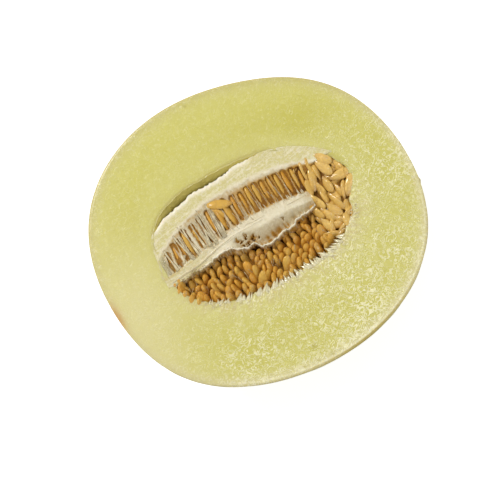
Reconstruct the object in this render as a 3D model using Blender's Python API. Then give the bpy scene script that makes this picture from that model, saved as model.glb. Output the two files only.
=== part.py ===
# Half a honeydew melon, cut lengthwise, lying on its rind with the cut face up.
# Metres, +Z up. The origin is on the ground below the middle of the melon, and +X points
# along the core to the stem end. Places on the cut face are given as (along, across).

import math
import random

import bmesh
import bpy
from mathutils import Matrix, Vector

MM = 0.001

# Rind and flesh
HEIGHT = 69.0 * MM  # ground to cut face
BELLY_DEPTH = 70.0 * MM  # cut face to the lowest point, before the flat spot is taken off
MEAN_RADIUS = 74.4 * MM
# Each wave of the rim is how many times it repeats, how far it swells, and where, in degrees.
RIM_WAVES = (
    (2, 3.9 * MM, -25.5),
    (3, 0.6 * MM, -13.8),
    (4, 1.1 * MM, 171.3),
    (6, 0.3 * MM, -158.8),
)

# Seed cavity
CAVITY_MIDDLE = Vector((1.5, 2.3)) * MM
CAVITY_STEM_REACH = 50.3 * MM
CAVITY_TAIL_REACH = 48.0 * MM
CAVITY_UPPER_REACH = 30.5 * MM
CAVITY_LOWER_REACH = 30.0 * MM
CAVITY_DEPTH = 30.0 * MM
# How square each quarter of the mouth is: 2 is an ellipse.
SQUARENESS = {"upper_stem": 1.78, "upper_tail": 3.3, "lower_tail": 2.4, "lower_stem": 2.25}
# The mouth is drawn in a little at its lower stem end.
DRAWN_IN = 2.6 * MM
DRAWN_IN_AT = -14.0
DRAWN_IN_SPREAD = 10.0

# The pulp has come away from the flesh along a crescent on its upper side.
CLEARANCE = 0.45 * MM
CRESCENT_WIDTH = 4.2 * MM
CRESCENT_FROM = 42.0
CRESCENT_WIDEST = 140.0
CRESCENT_TO = 163.0
CRESCENT_OPENING = 0.8  # below 1 it opens sooner
PULP_TOP = 0.3 * MM  # below the cut face
PULP_DEPTH = 28.5 * MM

# Seeds
SEED_LENGTH = 12.0 * MM
SEED_WIDTH = 4.5 * MM
SEED_THICKNESS = 2.4 * MM
SEED_TAPER = 0.26  # how much fuller the blunt end is
SEED_FACETS = (8, 6)  # sides, and rings from end to end

SHARP_ANGLE = 40.0  # edges sharper than this many degrees stay sharp
CUT_TOLERANCE = 1e-7

COLOURS = {
    "melon_flesh": ((0.66, 0.64, 0.27, 1.0), 0.35),
    "seed_pulp": ((0.72, 0.65, 0.46, 1.0), 0.5),
    "seeds_upper_row": ((0.58, 0.33, 0.09, 1.0), 0.4),
    "seeds_lower_bank": ((0.52, 0.29, 0.08, 1.0), 0.4),
    "seeds_end_cluster": ((0.66, 0.40, 0.14, 1.0), 0.35),
}


def clear_scene():
    for obj in list(bpy.data.objects):
        bpy.data.objects.remove(obj)


def new_collection(name):
    collection = bpy.data.collections.new(name)
    bpy.context.scene.collection.children.link(collection)
    return collection


def smooth(share):
    share = min(max(share, 0.0), 1.0)
    return share * share * (3.0 - 2.0 * share)


def hump(along, middle, spread):
    return math.exp(-(((along - middle) / spread) ** 2))


def finish_object(name, bm, collection):
    bmesh.ops.recalc_face_normals(bm, faces=bm.faces)
    if bm.calc_volume(signed=True) < 0.0:
        bmesh.ops.reverse_faces(bm, faces=bm.faces)
    mesh = bpy.data.meshes.new(name)
    bm.to_mesh(mesh)
    bm.free()
    obj = bpy.data.objects.new(name, mesh)
    collection.objects.link(obj)
    return obj


def as_cutter(obj):
    obj.hide_render = True
    obj.display_type = "WIRE"
    return obj


def paint(obj):
    colour, roughness = COLOURS[obj.name]
    material = bpy.data.materials.new(obj.name)
    material.use_nodes = True
    shader = material.node_tree.nodes["Principled BSDF"]
    shader.inputs["Base Color"].default_value = colour
    shader.inputs["Roughness"].default_value = roughness
    shader.inputs["Metallic"].default_value = 0.0
    material.diffuse_color = colour
    obj.data.materials.clear()
    obj.data.materials.append(material)
    obj.data.shade_smooth()
    obj.data.set_sharp_from_angle(angle=math.radians(SHARP_ANGLE))


def boolean(target, operand, operation, solver="EXACT"):
    modifier = target.modifiers.new(operation.title(), "BOOLEAN")
    modifier.operation = operation
    modifier.solver = solver
    if isinstance(operand, bpy.types.Collection):
        modifier.operand_type = "COLLECTION"
        modifier.collection = operand
    else:
        modifier.object = operand
    return modifier


def apply_modifiers(obj):
    evaluated = obj.evaluated_get(bpy.context.evaluated_depsgraph_get())
    obj.data = bpy.data.meshes.new_from_object(evaluated)
    obj.modifiers.clear()


def fuse(target, pieces, solver="EXACT"):
    # Joins every object of a collection to the target as one solid.
    boolean(target, pieces, "UNION", solver)
    apply_modifiers(target)
    for piece in list(pieces.objects):
        bpy.data.objects.remove(piece)
    bpy.data.collections.remove(pieces)


# Outlines in the cut face

def rim_radius(turn, level):
    # Level is 1 at the rim and 0 under the belly, where the waves die out.
    swell = sum(size * math.cos(count * turn - math.radians(at)) for count, size, at in RIM_WAVES)
    return MEAN_RADIUS + swell * level


def cavity_radius(turn):
    along, across = math.cos(turn), math.sin(turn)
    reach_along = CAVITY_STEM_REACH if along > 0.0 else CAVITY_TAIL_REACH
    reach_across = CAVITY_UPPER_REACH if across > 0.0 else CAVITY_LOWER_REACH
    side = "upper" if across > 0.0 else "lower"
    end = "stem" if along > 0.0 else "tail"
    power = SQUARENESS[side + "_" + end]
    full = (abs(along / reach_along) ** power + abs(across / reach_across) ** power) ** (-1.0 / power)
    degrees = math.degrees(math.atan2(across, along))
    return full - DRAWN_IN * hump(degrees, DRAWN_IN_AT, DRAWN_IN_SPREAD)


def crescent(turn):
    degrees = math.degrees(turn) % 360.0
    if degrees <= CRESCENT_WIDEST:
        opened = (degrees - CRESCENT_FROM) / (CRESCENT_WIDEST - CRESCENT_FROM)
        return CRESCENT_WIDTH * smooth(opened) ** CRESCENT_OPENING
    closed = (degrees - CRESCENT_WIDEST) / (CRESCENT_TO - CRESCENT_WIDEST)
    return CRESCENT_WIDTH * (1.0 - smooth(closed))


def pulp_radius(turn):
    return cavity_radius(turn) - CLEARANCE - crescent(turn)


# Solids

def bowl_mesh(radius_at, level_radius, depth, segments, rings):
    # The lower half of a sphere drawn out to a given outline, with a flat lid at z = 0.
    bm = bmesh.new()
    bmesh.ops.create_uvsphere(bm, u_segments=segments, v_segments=rings, radius=1.0)
    for vertex in bm.verts:
        level = math.hypot(vertex.co.x, vertex.co.y)
        turn = math.atan2(vertex.co.y, vertex.co.x)
        radius = level_radius(turn, level) if level_radius else radius_at(turn)
        vertex.co.x *= radius
        vertex.co.y *= radius
        vertex.co.z *= depth
    slice_off(bm, 0.0, True)
    return bm


def slice_off(bm, height, above):
    # Cuts the mesh level at this height and closes the cut.
    bmesh.ops.bisect_plane(
        bm,
        geom=bm.verts[:] + bm.edges[:] + bm.faces[:],
        dist=CUT_TOLERANCE,
        plane_co=(0.0, 0.0, height),
        plane_no=(0.0, 0.0, 1.0 if above else -1.0),
        clear_outer=True,
    )
    rim = [edge for edge in bm.edges if edge.is_boundary]
    bmesh.ops.contextual_create(bm, geom=rim)


def bent_ellipsoid(name, collection, form, middle_at, half_width_at):
    # A sphere drawn out along the cut face between two ends, following a curved middle line.
    # The lower blunt is, the fuller its ends, and the lower boxy is, the squarer its section.
    bm = bmesh.new()
    segments, rings = form["facets"]
    bmesh.ops.create_uvsphere(bm, u_segments=segments, v_segments=rings, radius=1.0)
    start, end = form["ends"]
    shallow, deep = form["depths"]
    blunt, boxy = form["blunt"], form["boxy"]
    for vertex in bm.verts:
        out = math.hypot(vertex.co.x, vertex.co.y)
        turn = math.atan2(vertex.co.y, vertex.co.x)
        side = math.copysign(abs(math.cos(turn)) ** boxy, math.cos(turn)) * out ** blunt
        up = math.copysign(abs(math.sin(turn)) ** boxy, math.sin(turn)) * out ** blunt
        along = start + (end - start) * (vertex.co.z + 1.0) / 2.0
        across = middle_at(along) + half_width_at(along) * side
        level = HEIGHT - (shallow + deep) / 2.0 + (deep - shallow) / 2.0 * up
        vertex.co = Vector((along, across, level))
    return finish_object(name, bm, collection)


def seed(collection, place, depth, heading, dip, roll, length, width, thickness, facets=SEED_FACETS):
    # A flat almond. Heading turns its length in the cut face, dip tips its blunt end up out of it,
    # and roll turns its broad side: 0 shows the broad side from above, 90 shows the edge.
    bm = bmesh.new()
    bmesh.ops.create_uvsphere(bm, u_segments=facets[0], v_segments=facets[1], radius=1.0)
    for vertex in bm.verts:
        toward_blunt = vertex.co.z
        taper = 1.0 + SEED_TAPER * toward_blunt
        vertex.co = Vector(
            (
                toward_blunt * length / 2.0,
                vertex.co.x * taper * width / 2.0,
                vertex.co.y * taper * thickness / 2.0,
            )
        )
    turned = (
        Matrix.Rotation(math.radians(heading), 4, "Z")
        @ Matrix.Rotation(math.radians(-dip), 4, "Y")
        @ Matrix.Rotation(math.radians(roll), 4, "X")
    )
    bmesh.ops.transform(bm, matrix=turned, verts=bm.verts)
    bmesh.ops.translate(bm, vec=Vector((place[0], place[1], HEIGHT - depth)), verts=bm.verts)
    return finish_object("seed", bm, collection)


# Rind and flesh

BODY_SEGMENTS = 72
BODY_RINGS = 24
CAVITY_SEGMENTS = 56
CAVITY_RINGS = 16
CUTTER_RISE = 0.5 * MM  # the cutters' widest ring stands this far above the cut face
CUTTER_HEADROOM = 4.0 * MM
FRINGE_DRAW = 11
FRINGE_COUNT = 24
FRINGE_SIDES = 5
FRINGE_FROM = 214.0  # degrees round the mouth of the cavity
FRINGE_TO = 317.0
FRINGE_LENGTH = 3.4 * MM
FRINGE_ROOT = 1.3 * MM
FRINGE_TIP = 0.25 * MM
FRINGE_SUNK = 3.6 * MM  # how far a root is sunk in the flesh
FRINGE_FLATTENED = 0.75
FRINGE_DROOP = 0.12
FRINGE_SCATTER = 1.6  # degrees round the mouth
FRINGE_SPLAY = 16.0  # degrees to each side
FRINGE_LENGTHS = (0.7, 1.15)  # shares of the full length
FRINGE_ROOTS = (0.8, 1.2)
FRINGE_COVER = (0.3 * MM, 0.7 * MM)  # flesh over a root


def cavity_cutter(cutters, name, inset):
    bm = bowl_mesh(lambda turn: cavity_radius(turn) - inset, None, CAVITY_DEPTH - inset,
                   CAVITY_SEGMENTS, CAVITY_RINGS)
    lid = [max(bm.faces, key=lambda face: len(face.verts))]
    raised = bmesh.ops.extrude_face_region(bm, geom=lid)
    bmesh.ops.delete(bm, geom=lid, context="FACES_ONLY")
    top = [item for item in raised["geom"] if isinstance(item, bmesh.types.BMVert)]
    bmesh.ops.translate(bm, vec=(0.0, 0.0, CUTTER_HEADROOM), verts=top)
    lift = Vector((CAVITY_MIDDLE.x, CAVITY_MIDDLE.y, HEIGHT + CUTTER_RISE))
    bmesh.ops.translate(bm, vec=lift, verts=bm.verts)
    return as_cutter(finish_object(name, bm, cutters))


def fringe_fibres():
    # Torn fibres that stand out of the lower wall of the cavity, over the seeds.
    fibres = new_collection("fringe")
    draw = random.Random(FRINGE_DRAW)
    for number in range(FRINGE_COUNT):
        share = (number + 0.5) / FRINGE_COUNT
        degrees = FRINGE_FROM + (FRINGE_TO - FRINGE_FROM) * share
        turn = math.radians(degrees + draw.uniform(-FRINGE_SCATTER, FRINGE_SCATTER))
        length = FRINGE_LENGTH * draw.uniform(*FRINGE_LENGTHS)
        root = FRINGE_ROOT * draw.uniform(*FRINGE_ROOTS)
        depth = root + draw.uniform(*FRINGE_COVER)
        bm = bmesh.new()
        whole = length + FRINGE_SUNK
        bmesh.ops.create_cone(bm, cap_ends=True, segments=FRINGE_SIDES,
                              radius1=root, radius2=FRINGE_TIP, depth=whole)
        inward = Vector((-math.cos(turn), -math.sin(turn), -FRINGE_DROOP))
        splay = math.radians(draw.uniform(-FRINGE_SPLAY, FRINGE_SPLAY))
        inward.rotate(Matrix.Rotation(splay, 4, "Z"))
        aimed = inward.to_track_quat("Z", "X").to_matrix().to_4x4()
        flattened = Matrix.Diagonal((1.0, FRINGE_FLATTENED, 1.0, 1.0))
        bmesh.ops.transform(bm, matrix=aimed @ flattened, verts=bm.verts)
        wall = cavity_radius(turn) - length + whole / 2.0
        place = Vector(
            (
                CAVITY_MIDDLE.x + wall * math.cos(turn),
                CAVITY_MIDDLE.y + wall * math.sin(turn),
                HEIGHT - depth,
            )
        )
        bmesh.ops.translate(bm, vec=place, verts=bm.verts)
        finish_object("fibre", bm, fibres)
    return fibres


def cavity_room(cutters):
    # What the seeds may fill: the cavity less a hair's gap to its wall.
    return cavity_cutter(cutters, "cavity_room", CLEARANCE)


def melon_flesh(parts, cutters):
    bm = bowl_mesh(None, rim_radius, BELLY_DEPTH, BODY_SEGMENTS, BODY_RINGS)
    slice_off(bm, -HEIGHT, False)
    low = [min(vertex.co[axis] for vertex in bm.verts) for axis in (0, 1)]
    high = [max(vertex.co[axis] for vertex in bm.verts) for axis in (0, 1)]
    centred = Vector((-(low[0] + high[0]) / 2.0, -(low[1] + high[1]) / 2.0, HEIGHT))
    bmesh.ops.translate(bm, vec=centred, verts=bm.verts)
    flesh = finish_object("melon_flesh", bm, parts)
    boolean(flesh, cavity_cutter(cutters, "cavity", 0.0), "DIFFERENCE")
    apply_modifiers(flesh)
    fuse(flesh, fringe_fibres())
    return flesh


# Pulp

# Each form gives its ends along the melon, its depths below the cut face, how blunt its ends and
# how boxy its section are, and its sides and rings.
UPPER_TROUGH = {
    "ends": (-49.0 * MM, 43.0 * MM),
    "depths": (-9.5 * MM, 9.5 * MM),
    "blunt": 0.45,
    "boxy": 0.7,
    "facets": (16, 24),
}
LOWER_TROUGH = {
    "ends": (-60.0 * MM, 54.0 * MM),
    "depths": (-17.5 * MM, 17.5 * MM),
    "blunt": 0.25,
    "boxy": 0.45,
    "facets": (20, 28),
}
LOWER_HALF_WIDTH = 17.0 * MM
LOWER_OVERLAP = 0.7 * MM  # how far its upper edge lies above the bank's
HOLLOW = {
    "ends": (-15.0 * MM, 31.0 * MM),
    "depths": (-9.0 * MM, 9.0 * MM),
    "blunt": 0.9,
    "boxy": 1.0,
    "facets": (14, 18),
}
HOLLOW_MIDDLE = -3.1 * MM
HOLLOW_SAG = 1.6 * MM
HOLLOW_SAG_AT = 2.0 * MM
HOLLOW_SAG_SPREAD = 10.0 * MM
HOLLOW_HALF_WIDTH = 3.3 * MM
HOLLOW_SWELL = 1.0 * MM
HOLLOW_SWELL_AT = 3.0 * MM
HOLLOW_SWELL_SPREAD = 9.0 * MM
END_POCKET = {
    "ends": (28.6 * MM, 60.0 * MM),
    "depths": (-14.0 * MM, 14.0 * MM),
    "blunt": 0.4,
    "boxy": 0.8,
    "facets": (20, 14),
}
POCKET_MIDDLE = -5.0 * MM
POCKET_HALF_WIDTH = 25.0 * MM

UPPER_MIDDLE = 13.4 * MM  # where the middle line of the upper row is highest
UPPER_MIDDLE_AT = 2.0 * MM
UPPER_BOW = 4.0  # how fast it falls to both sides, per metre
UPPER_HALF_WIDTH = 8.2 * MM
UPPER_SWELL = 1.3 * MM
UPPER_SWELL_AT = -19.0 * MM
UPPER_SWELL_SPREAD = 12.0 * MM
BANK_EDGE = -4.6 * MM
BANK_DIP = 5.4 * MM
BANK_DIP_AT = 1.0 * MM
BANK_DIP_SPREAD = 14.0 * MM
BANK_MARGIN = -26.5 * MM
BANK_MARGIN_AT = -1.0 * MM
BANK_BOW = 6.4


def upper_middle(along):
    return UPPER_MIDDLE - UPPER_BOW * (along - UPPER_MIDDLE_AT) ** 2


def upper_half_width(along):
    return UPPER_HALF_WIDTH + UPPER_SWELL * hump(along, UPPER_SWELL_AT, UPPER_SWELL_SPREAD)


def bank_edge(along):
    # Upper edge of the lower bank of seeds, which dips where the pulp hangs open.
    return BANK_EDGE - BANK_DIP * hump(along, BANK_DIP_AT, BANK_DIP_SPREAD)


def bank_margin(along):
    # Lower edge of the lower bank, a little inside the wall of the cavity.
    return BANK_MARGIN + BANK_BOW * (along - BANK_MARGIN_AT) ** 2


def lower_trough_middle(along):
    # The trough runs out past the wall of the cavity, so only its upper edge shows.
    return bank_edge(along) + LOWER_OVERLAP - LOWER_HALF_WIDTH


def hollow_middle(along):
    return HOLLOW_MIDDLE - HOLLOW_SAG * hump(along, HOLLOW_SAG_AT, HOLLOW_SAG_SPREAD)


def hollow_half_width(along):
    return HOLLOW_HALF_WIDTH + HOLLOW_SWELL * hump(along, HOLLOW_SWELL_AT, HOLLOW_SWELL_SPREAD)


def half_reach(roll):
    # How far a seed of the row, turned this far, reaches to each side of its middle.
    turned = math.radians(roll)
    broad = SEED_WIDTH / 2.0 * math.cos(turned)
    edge = SEED_THICKNESS / 2.0 * math.sin(turned)
    return SEED_FULLNESS * math.hypot(broad, edge)


def pulp_webs():
    # Thin walls of pulp that cross the upper row between its seeds.
    webs = new_collection("webs")
    for first, second in zip(UPPER_SEEDS, UPPER_SEEDS[1:]):
        after = first[0] * MM + half_reach(first[2])
        before = second[0] * MM - half_reach(second[2])
        thickness = min(before - after - 2.0 * WEB_GAP, WEB_THICKEST)
        if thickness < WEB_THINNEST:
            continue
        along = (after + before) / 2.0
        lean = (first[1] + second[1]) / 2.0
        bm = bmesh.new()
        bmesh.ops.create_cube(bm, size=1.0)
        start, end = UPPER_TROUGH["ends"]
        from_middle = (2.0 * along - start - end) / (end - start)
        narrowed = (1.0 - from_middle ** 2) ** (UPPER_TROUGH["blunt"] / 2.0)
        span = 2.0 * upper_half_width(along) * narrowed + WEB_SUNK
        top = WEB_TOP + SLIPPED_ROOM * hump(along, SLIPPED_SEED[0], SLIPPED_ROOM_SPREAD)
        bmesh.ops.scale(bm, vec=(thickness, span, WEB_BOTTOM - top), verts=bm.verts)
        bmesh.ops.rotate(bm, matrix=Matrix.Rotation(math.radians(lean), 3, "Z"), verts=bm.verts)
        middle = Vector((along, upper_middle(along), HEIGHT - (top + WEB_BOTTOM) / 2.0))
        bmesh.ops.translate(bm, vec=middle, verts=bm.verts)
        finish_object("web", bm, webs)
    return webs


def seed_pulp(parts, cutters):
    bm = bowl_mesh(pulp_radius, None, PULP_DEPTH, CAVITY_SEGMENTS, CAVITY_RINGS)
    lift = Vector((CAVITY_MIDDLE.x, CAVITY_MIDDLE.y, HEIGHT - PULP_TOP))
    bmesh.ops.translate(bm, vec=lift, verts=bm.verts)
    pulp = finish_object("seed_pulp", bm, parts)
    troughs = (
        bent_ellipsoid("upper_trough", cutters, UPPER_TROUGH, upper_middle, upper_half_width),
        bent_ellipsoid("lower_trough", cutters, LOWER_TROUGH, lower_trough_middle,
                       lambda along: LOWER_HALF_WIDTH),
        bent_ellipsoid("hollow", cutters, HOLLOW, hollow_middle, hollow_half_width),
        bent_ellipsoid("end_pocket", cutters, END_POCKET, lambda along: POCKET_MIDDLE,
                       lambda along: POCKET_HALF_WIDTH),
    )
    for trough in troughs:
        boolean(pulp, as_cutter(trough), "DIFFERENCE")
    apply_modifiers(pulp)
    fuse(pulp, pulp_webs())
    return pulp


# Seeds of the upper row, which lie across the melon and show their edges.
# Each is where it lies along the melon in mm, its lean and its turn towards the viewer in degrees,
# and its length as a share of a full seed.
UPPER_SEEDS = (
    (-42.6, -8.0, 82.0, 0.72),
    (-38.4, -6.0, 76.0, 0.88),
    (-34.6, 1.0, 84.0, 0.80),
    (-30.9, 3.0, 62.0, 1.08),
    (-26.0, 5.0, 80.0, 0.92),
    (-21.4, 5.0, 78.0, 0.95),
    (-16.6, 4.0, 64.0, 1.05),
    (-12.4, 3.0, 74.0, 0.95),
    (-7.8, 4.0, 55.0, 1.02),
    (-3.6, 2.0, 76.0, 0.92),
    (0.4, 1.0, 80.0, 0.80),
    (4.2, 0.0, 66.0, 0.98),
    (7.9, 0.0, 60.0, 0.90),
    (11.6, 2.0, 74.0, 0.88),
    (15.2, 3.0, 80.0, 0.92),
    (18.7, 1.0, 70.0, 1.00),
    (22.5, 1.0, 66.0, 1.02),
    (26.3, 0.0, 74.0, 0.98),
    (28.9, -4.0, 84.0, 0.86),
)
SLIPPED_SEED = (-9.9 * MM, 17.9 * MM)
SLIPPED_DEPTH = 0.5 * MM
SLIPPED_HEADING = 158.0
SLIPPED_ROLL = 12.0
SLIPPED_SHARE = 1.04
SLIPPED_ROOM = 2.0 * MM  # how much lower the webs lie below it
SLIPPED_ROOM_SPREAD = 8.0 * MM
SLIPPED_LIFT = 1.2 * MM  # how far the seeds below it stand up to meet it
SLIPPED_LIFT_SPREAD = 4.0 * MM
SEED_FULLNESS = 1.1  # how far the blunt end stands out past the middle
WEB_TOP = 0.9 * MM
WEB_BOTTOM = 3.4 * MM
WEB_GAP = 0.3 * MM
WEB_SUNK = 2.4 * MM  # how much longer a web is than the trough is wide
WEB_THINNEST = 0.6 * MM
WEB_THICKEST = 1.9 * MM
UPPER_SEED_DEPTH = 3.3 * MM
UPPER_CORE = {
    "ends": (-42.6 * MM, 30.0 * MM),
    "depths": (4.2 * MM, 6.8 * MM),
    "blunt": 0.6,
    "boxy": 1.0,
    "facets": (8, 16),
}
UPPER_CORE_HALF_WIDTH = 3.2 * MM


def seeds_upper_row(parts):
    core = bent_ellipsoid("seeds_upper_row", parts, UPPER_CORE, upper_middle,
                          lambda along: UPPER_CORE_HALF_WIDTH)
    seeds = new_collection("upper_seeds")
    for along, lean, roll, share in UPPER_SEEDS:
        place = (along * MM, upper_middle(along * MM))
        depth = UPPER_SEED_DEPTH - SLIPPED_LIFT * hump(along * MM, SLIPPED_SEED[0], SLIPPED_LIFT_SPREAD)
        seed(seeds, place, depth, 90.0 + lean, 0.0, roll,
             SEED_LENGTH * share, SEED_WIDTH, SEED_THICKNESS)
    # One seed has slipped out and lies over the row.
    seed(seeds, SLIPPED_SEED, SLIPPED_DEPTH, SLIPPED_HEADING, 0.0, SLIPPED_ROLL,
         SEED_LENGTH * SLIPPED_SHARE, SEED_WIDTH, SEED_THICKNESS)
    fuse(core, seeds)
    return core


# Lower bank, where the seeds stand in leaning columns, blunt ends up and lapped like shingles

BANK_DRAW = 5
BANK_ENDS = (-40.6 * MM, 26.4 * MM)
BANK_PITCH = 3.48 * MM  # from column to column
BANK_ROW_LOOSE = 3.5 * MM  # from row to row at the tail
BANK_ROW_CROWDED = 2.8 * MM  # and from here to the stem
BANK_CROWDED_FROM = -14.0 * MM
BANK_LEAN = 0.3  # how far a column drifts towards the stem for each step down the bank
BANK_UNDER_EDGE = 5.1 * MM
BANK_OVER_MARGIN = 1.8 * MM
BANK_DEPTH = 8.0 * MM
BANK_RISE = 1.6 * MM  # how much higher the seeds at the margin stand
BANK_THICKNESS = 2.6 * MM
BANK_FACETS = (6, 4)
BANK_SCATTER = 0.4 * MM
BANK_DEPTH_SCATTER = 0.6 * MM
# Each angle is its mean and how far it strays, in degrees.
BANK_HEADING = (100.0, 12.0)
BANK_TILT = (52.0, 7.0)
BANK_ROLL = (62.0, 16.0)
BANK_CORE = {
    "ends": (-44.0 * MM, 29.0 * MM),
    "depths": (6.3 * MM, 13.8 * MM),
    "blunt": 0.32,
    "boxy": 0.62,
    "facets": (10, 22),
}
BANK_CORE_LOWERED = 1.2 * MM  # how far it lies below the middle of the bank
BROAD_ROOM = 3.0 * MM
BROAD_DEPTH = 5.3 * MM
BROAD_DIP = 30.0
# Seeds of the bank that show their broad side: place in mm, heading and roll.
BROAD_SEEDS = (
    (-12.0, -15.6, 96.0, 8.0),
    (-9.4, -22.6, 58.0, 14.0),
    (3.8, -22.0, 66.0, 22.0),
    (26.0, -16.8, 100.0, 16.0),
)


def near_broad_seed(along, across):
    return any(
        math.hypot(along - seed_at[0] * MM, across - seed_at[1] * MM) < BROAD_ROOM
        for seed_at in BROAD_SEEDS
    )


def lower_bank_seeds():
    # Place, depth, heading, dip and roll of each seed of the bank.
    draw = random.Random(BANK_DRAW)
    found = []
    columns = int((BANK_ENDS[1] - BANK_ENDS[0]) / BANK_PITCH) + 1
    for column in range(columns):
        start = BANK_ENDS[0] + column * BANK_PITCH
        upper = bank_edge(start) - BANK_UNDER_EDGE
        lower = bank_margin(start) + BANK_OVER_MARGIN
        row_pitch = BANK_ROW_LOOSE if start < BANK_CROWDED_FROM else BANK_ROW_CROWDED
        rows = max(1 + round((upper - lower) / row_pitch), 2)
        for row in range(rows):
            share = row / (rows - 1)
            drift = BANK_LEAN * (share - 0.5) * (upper - lower)
            along = start + drift + draw.uniform(-BANK_SCATTER, BANK_SCATTER)
            across = upper + (lower - upper) * share + draw.uniform(-BANK_SCATTER, BANK_SCATTER)
            depth = BANK_DEPTH - BANK_RISE * share + draw.uniform(-BANK_DEPTH_SCATTER, BANK_DEPTH_SCATTER)
            heading = BANK_HEADING[0] + draw.uniform(-BANK_HEADING[1], BANK_HEADING[1])
            dip = BANK_TILT[0] + draw.uniform(-BANK_TILT[1], BANK_TILT[1])
            roll = BANK_ROLL[0] + draw.uniform(-BANK_ROLL[1], BANK_ROLL[1])
            if not near_broad_seed(along, across):
                found.append(((along, across), depth, heading, dip, roll))
    for along, across, heading, roll in BROAD_SEEDS:
        found.append(((along * MM, across * MM), BROAD_DEPTH, heading, BROAD_DIP, roll))
    return found


def seeds_lower_bank(parts, cutters):
    core = bent_ellipsoid("seeds_lower_bank", parts, BANK_CORE,
                          lambda along: (bank_edge(along) + bank_margin(along)) / 2.0 - BANK_CORE_LOWERED,
                          lambda along: (bank_edge(along) - bank_margin(along)) / 2.0)
    seeds = new_collection("lower_seeds")
    for place, depth, heading, dip, roll in lower_bank_seeds():
        seed(seeds, place, depth, heading, dip, roll, SEED_LENGTH, SEED_WIDTH, BANK_THICKNESS, BANK_FACETS)
    # So many crossing seeds are more than the exact solver joins.
    fuse(core, seeds, "MANIFOLD")
    boolean(core, cavity_room(cutters), "INTERSECT", "MANIFOLD")
    apply_modifiers(core)
    return core


# Loose seeds heaped at the stem end: place in mm, depth, heading, dip, roll, length and width.
END_SEEDS = (
    (41.3, 14.3, 0.6, -48.0, 2.0, 12.0, 9.8, 4.7),
    (39.7, 10.6, 1.5, -65.0, 0.0, 18.0, 11.2, 4.5),
    (45.4, 9.2, 2.4, -75.0, 4.0, 30.0, 7.4, 4.2),
    (44.9, 3.8, 1.2, -2.0, -4.0, 8.0, 10.0, 4.7),
    (47.0, -2.5, 1.5, 50.0, 0.0, 22.0, 11.4, 4.6),
    (38.0, 2.6, 2.0, -85.0, 0.0, 34.0, 9.0, 4.2),
    (41.1, -1.6, 2.8, -80.0, 0.0, 56.0, 8.4, 4.0),
    (43.4, -3.2, 2.2, 66.0, 0.0, 58.0, 9.6, 4.0),
    (37.9, -6.0, 1.8, -72.0, 2.0, 52.0, 11.4, 4.2),
    (35.2, -9.0, 1.9, -62.0, 0.0, 14.0, 9.8, 4.4),
    (33.2, 8.0, 2.0, 72.0, 0.0, 26.0, 12.0, 4.5),
    (36.4, 10.2, 3.0, 88.0, 0.0, 68.0, 9.6, 4.2),
    (31.4, -9.4, 2.8, -64.0, 0.0, 32.0, 9.0, 4.3),
    (34.2, -1.8, 3.2, 84.0, 0.0, 40.0, 8.6, 4.2),
    (39.7, -14.0, 2.6, 30.0, 0.0, 46.0, 9.2, 3.8),
    (33.0, -15.6, 3.8, -14.0, 0.0, 30.0, 8.4, 4.4),
    (36.0, -18.2, 2.8, 13.0, 0.0, 62.0, 9.0, 3.6),
    (33.6, -20.1, 3.4, 13.0, 0.0, 60.0, 8.4, 3.6),
)
HEAP_CORE = {
    "ends": (30.6 * MM, 52.0 * MM),
    "depths": (2.0 * MM, 8.6 * MM),
    "blunt": 0.6,
    "boxy": 0.6,
    "facets": (14, 12),
}
HEAP_MIDDLE = -2.0 * MM
HEAP_HALF_WIDTH = 17.0 * MM
# A ridge under the seeds that lie along the lower wall joins them to the heap.
RIDGE = {
    "ends": (29.4 * MM, 43.0 * MM),
    "depths": (3.8 * MM, 8.0 * MM),
    "blunt": 0.5,
    "boxy": 1.0,
    "facets": (8, 8),
}
RIDGE_START = -20.4 * MM
RIDGE_SLOPE = 0.62
RIDGE_HALF_WIDTH = 2.8 * MM


def ridge_middle(along):
    return RIDGE_START + RIDGE_SLOPE * (along - RIDGE["ends"][0])


def seeds_end_cluster(parts, cutters):
    core = bent_ellipsoid("seeds_end_cluster", parts, HEAP_CORE,
                          lambda along: HEAP_MIDDLE, lambda along: HEAP_HALF_WIDTH)
    seeds = new_collection("end_seeds")
    bent_ellipsoid("ridge", seeds, RIDGE, ridge_middle, lambda along: RIDGE_HALF_WIDTH)
    for along, across, depth, heading, dip, roll, length, width in END_SEEDS:
        seed(seeds, (along * MM, across * MM), depth * MM, heading, dip, roll,
             length * MM, width * MM, SEED_THICKNESS)
    fuse(core, seeds)
    boolean(core, cavity_room(cutters), "INTERSECT")
    apply_modifiers(core)
    return core


def build_melon():
    clear_scene()
    parts = new_collection("half_honeydew_melon")
    cutters = new_collection("cutters")
    pieces = (
        melon_flesh(parts, cutters),
        seed_pulp(parts, cutters),
        seeds_upper_row(parts),
        seeds_lower_bank(parts, cutters),
        seeds_end_cluster(parts, cutters),
    )
    for piece in pieces:
        paint(piece)
    for piece in pieces:
        print(piece.name, len(piece.data.polygons), "faces")


build_melon()
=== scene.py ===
# Looks of a half honeydew melon: wet cut flesh, smooth rind, torn seed pulp and golden seeds.
# Shapes are worked out in millimetres, and buildMesh turns them into metres.
# Along runs down the core to the stem end, across runs over the cut face.

import math
import random

import bpy
import numpy as np
from mathutils import Matrix, Vector


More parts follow.
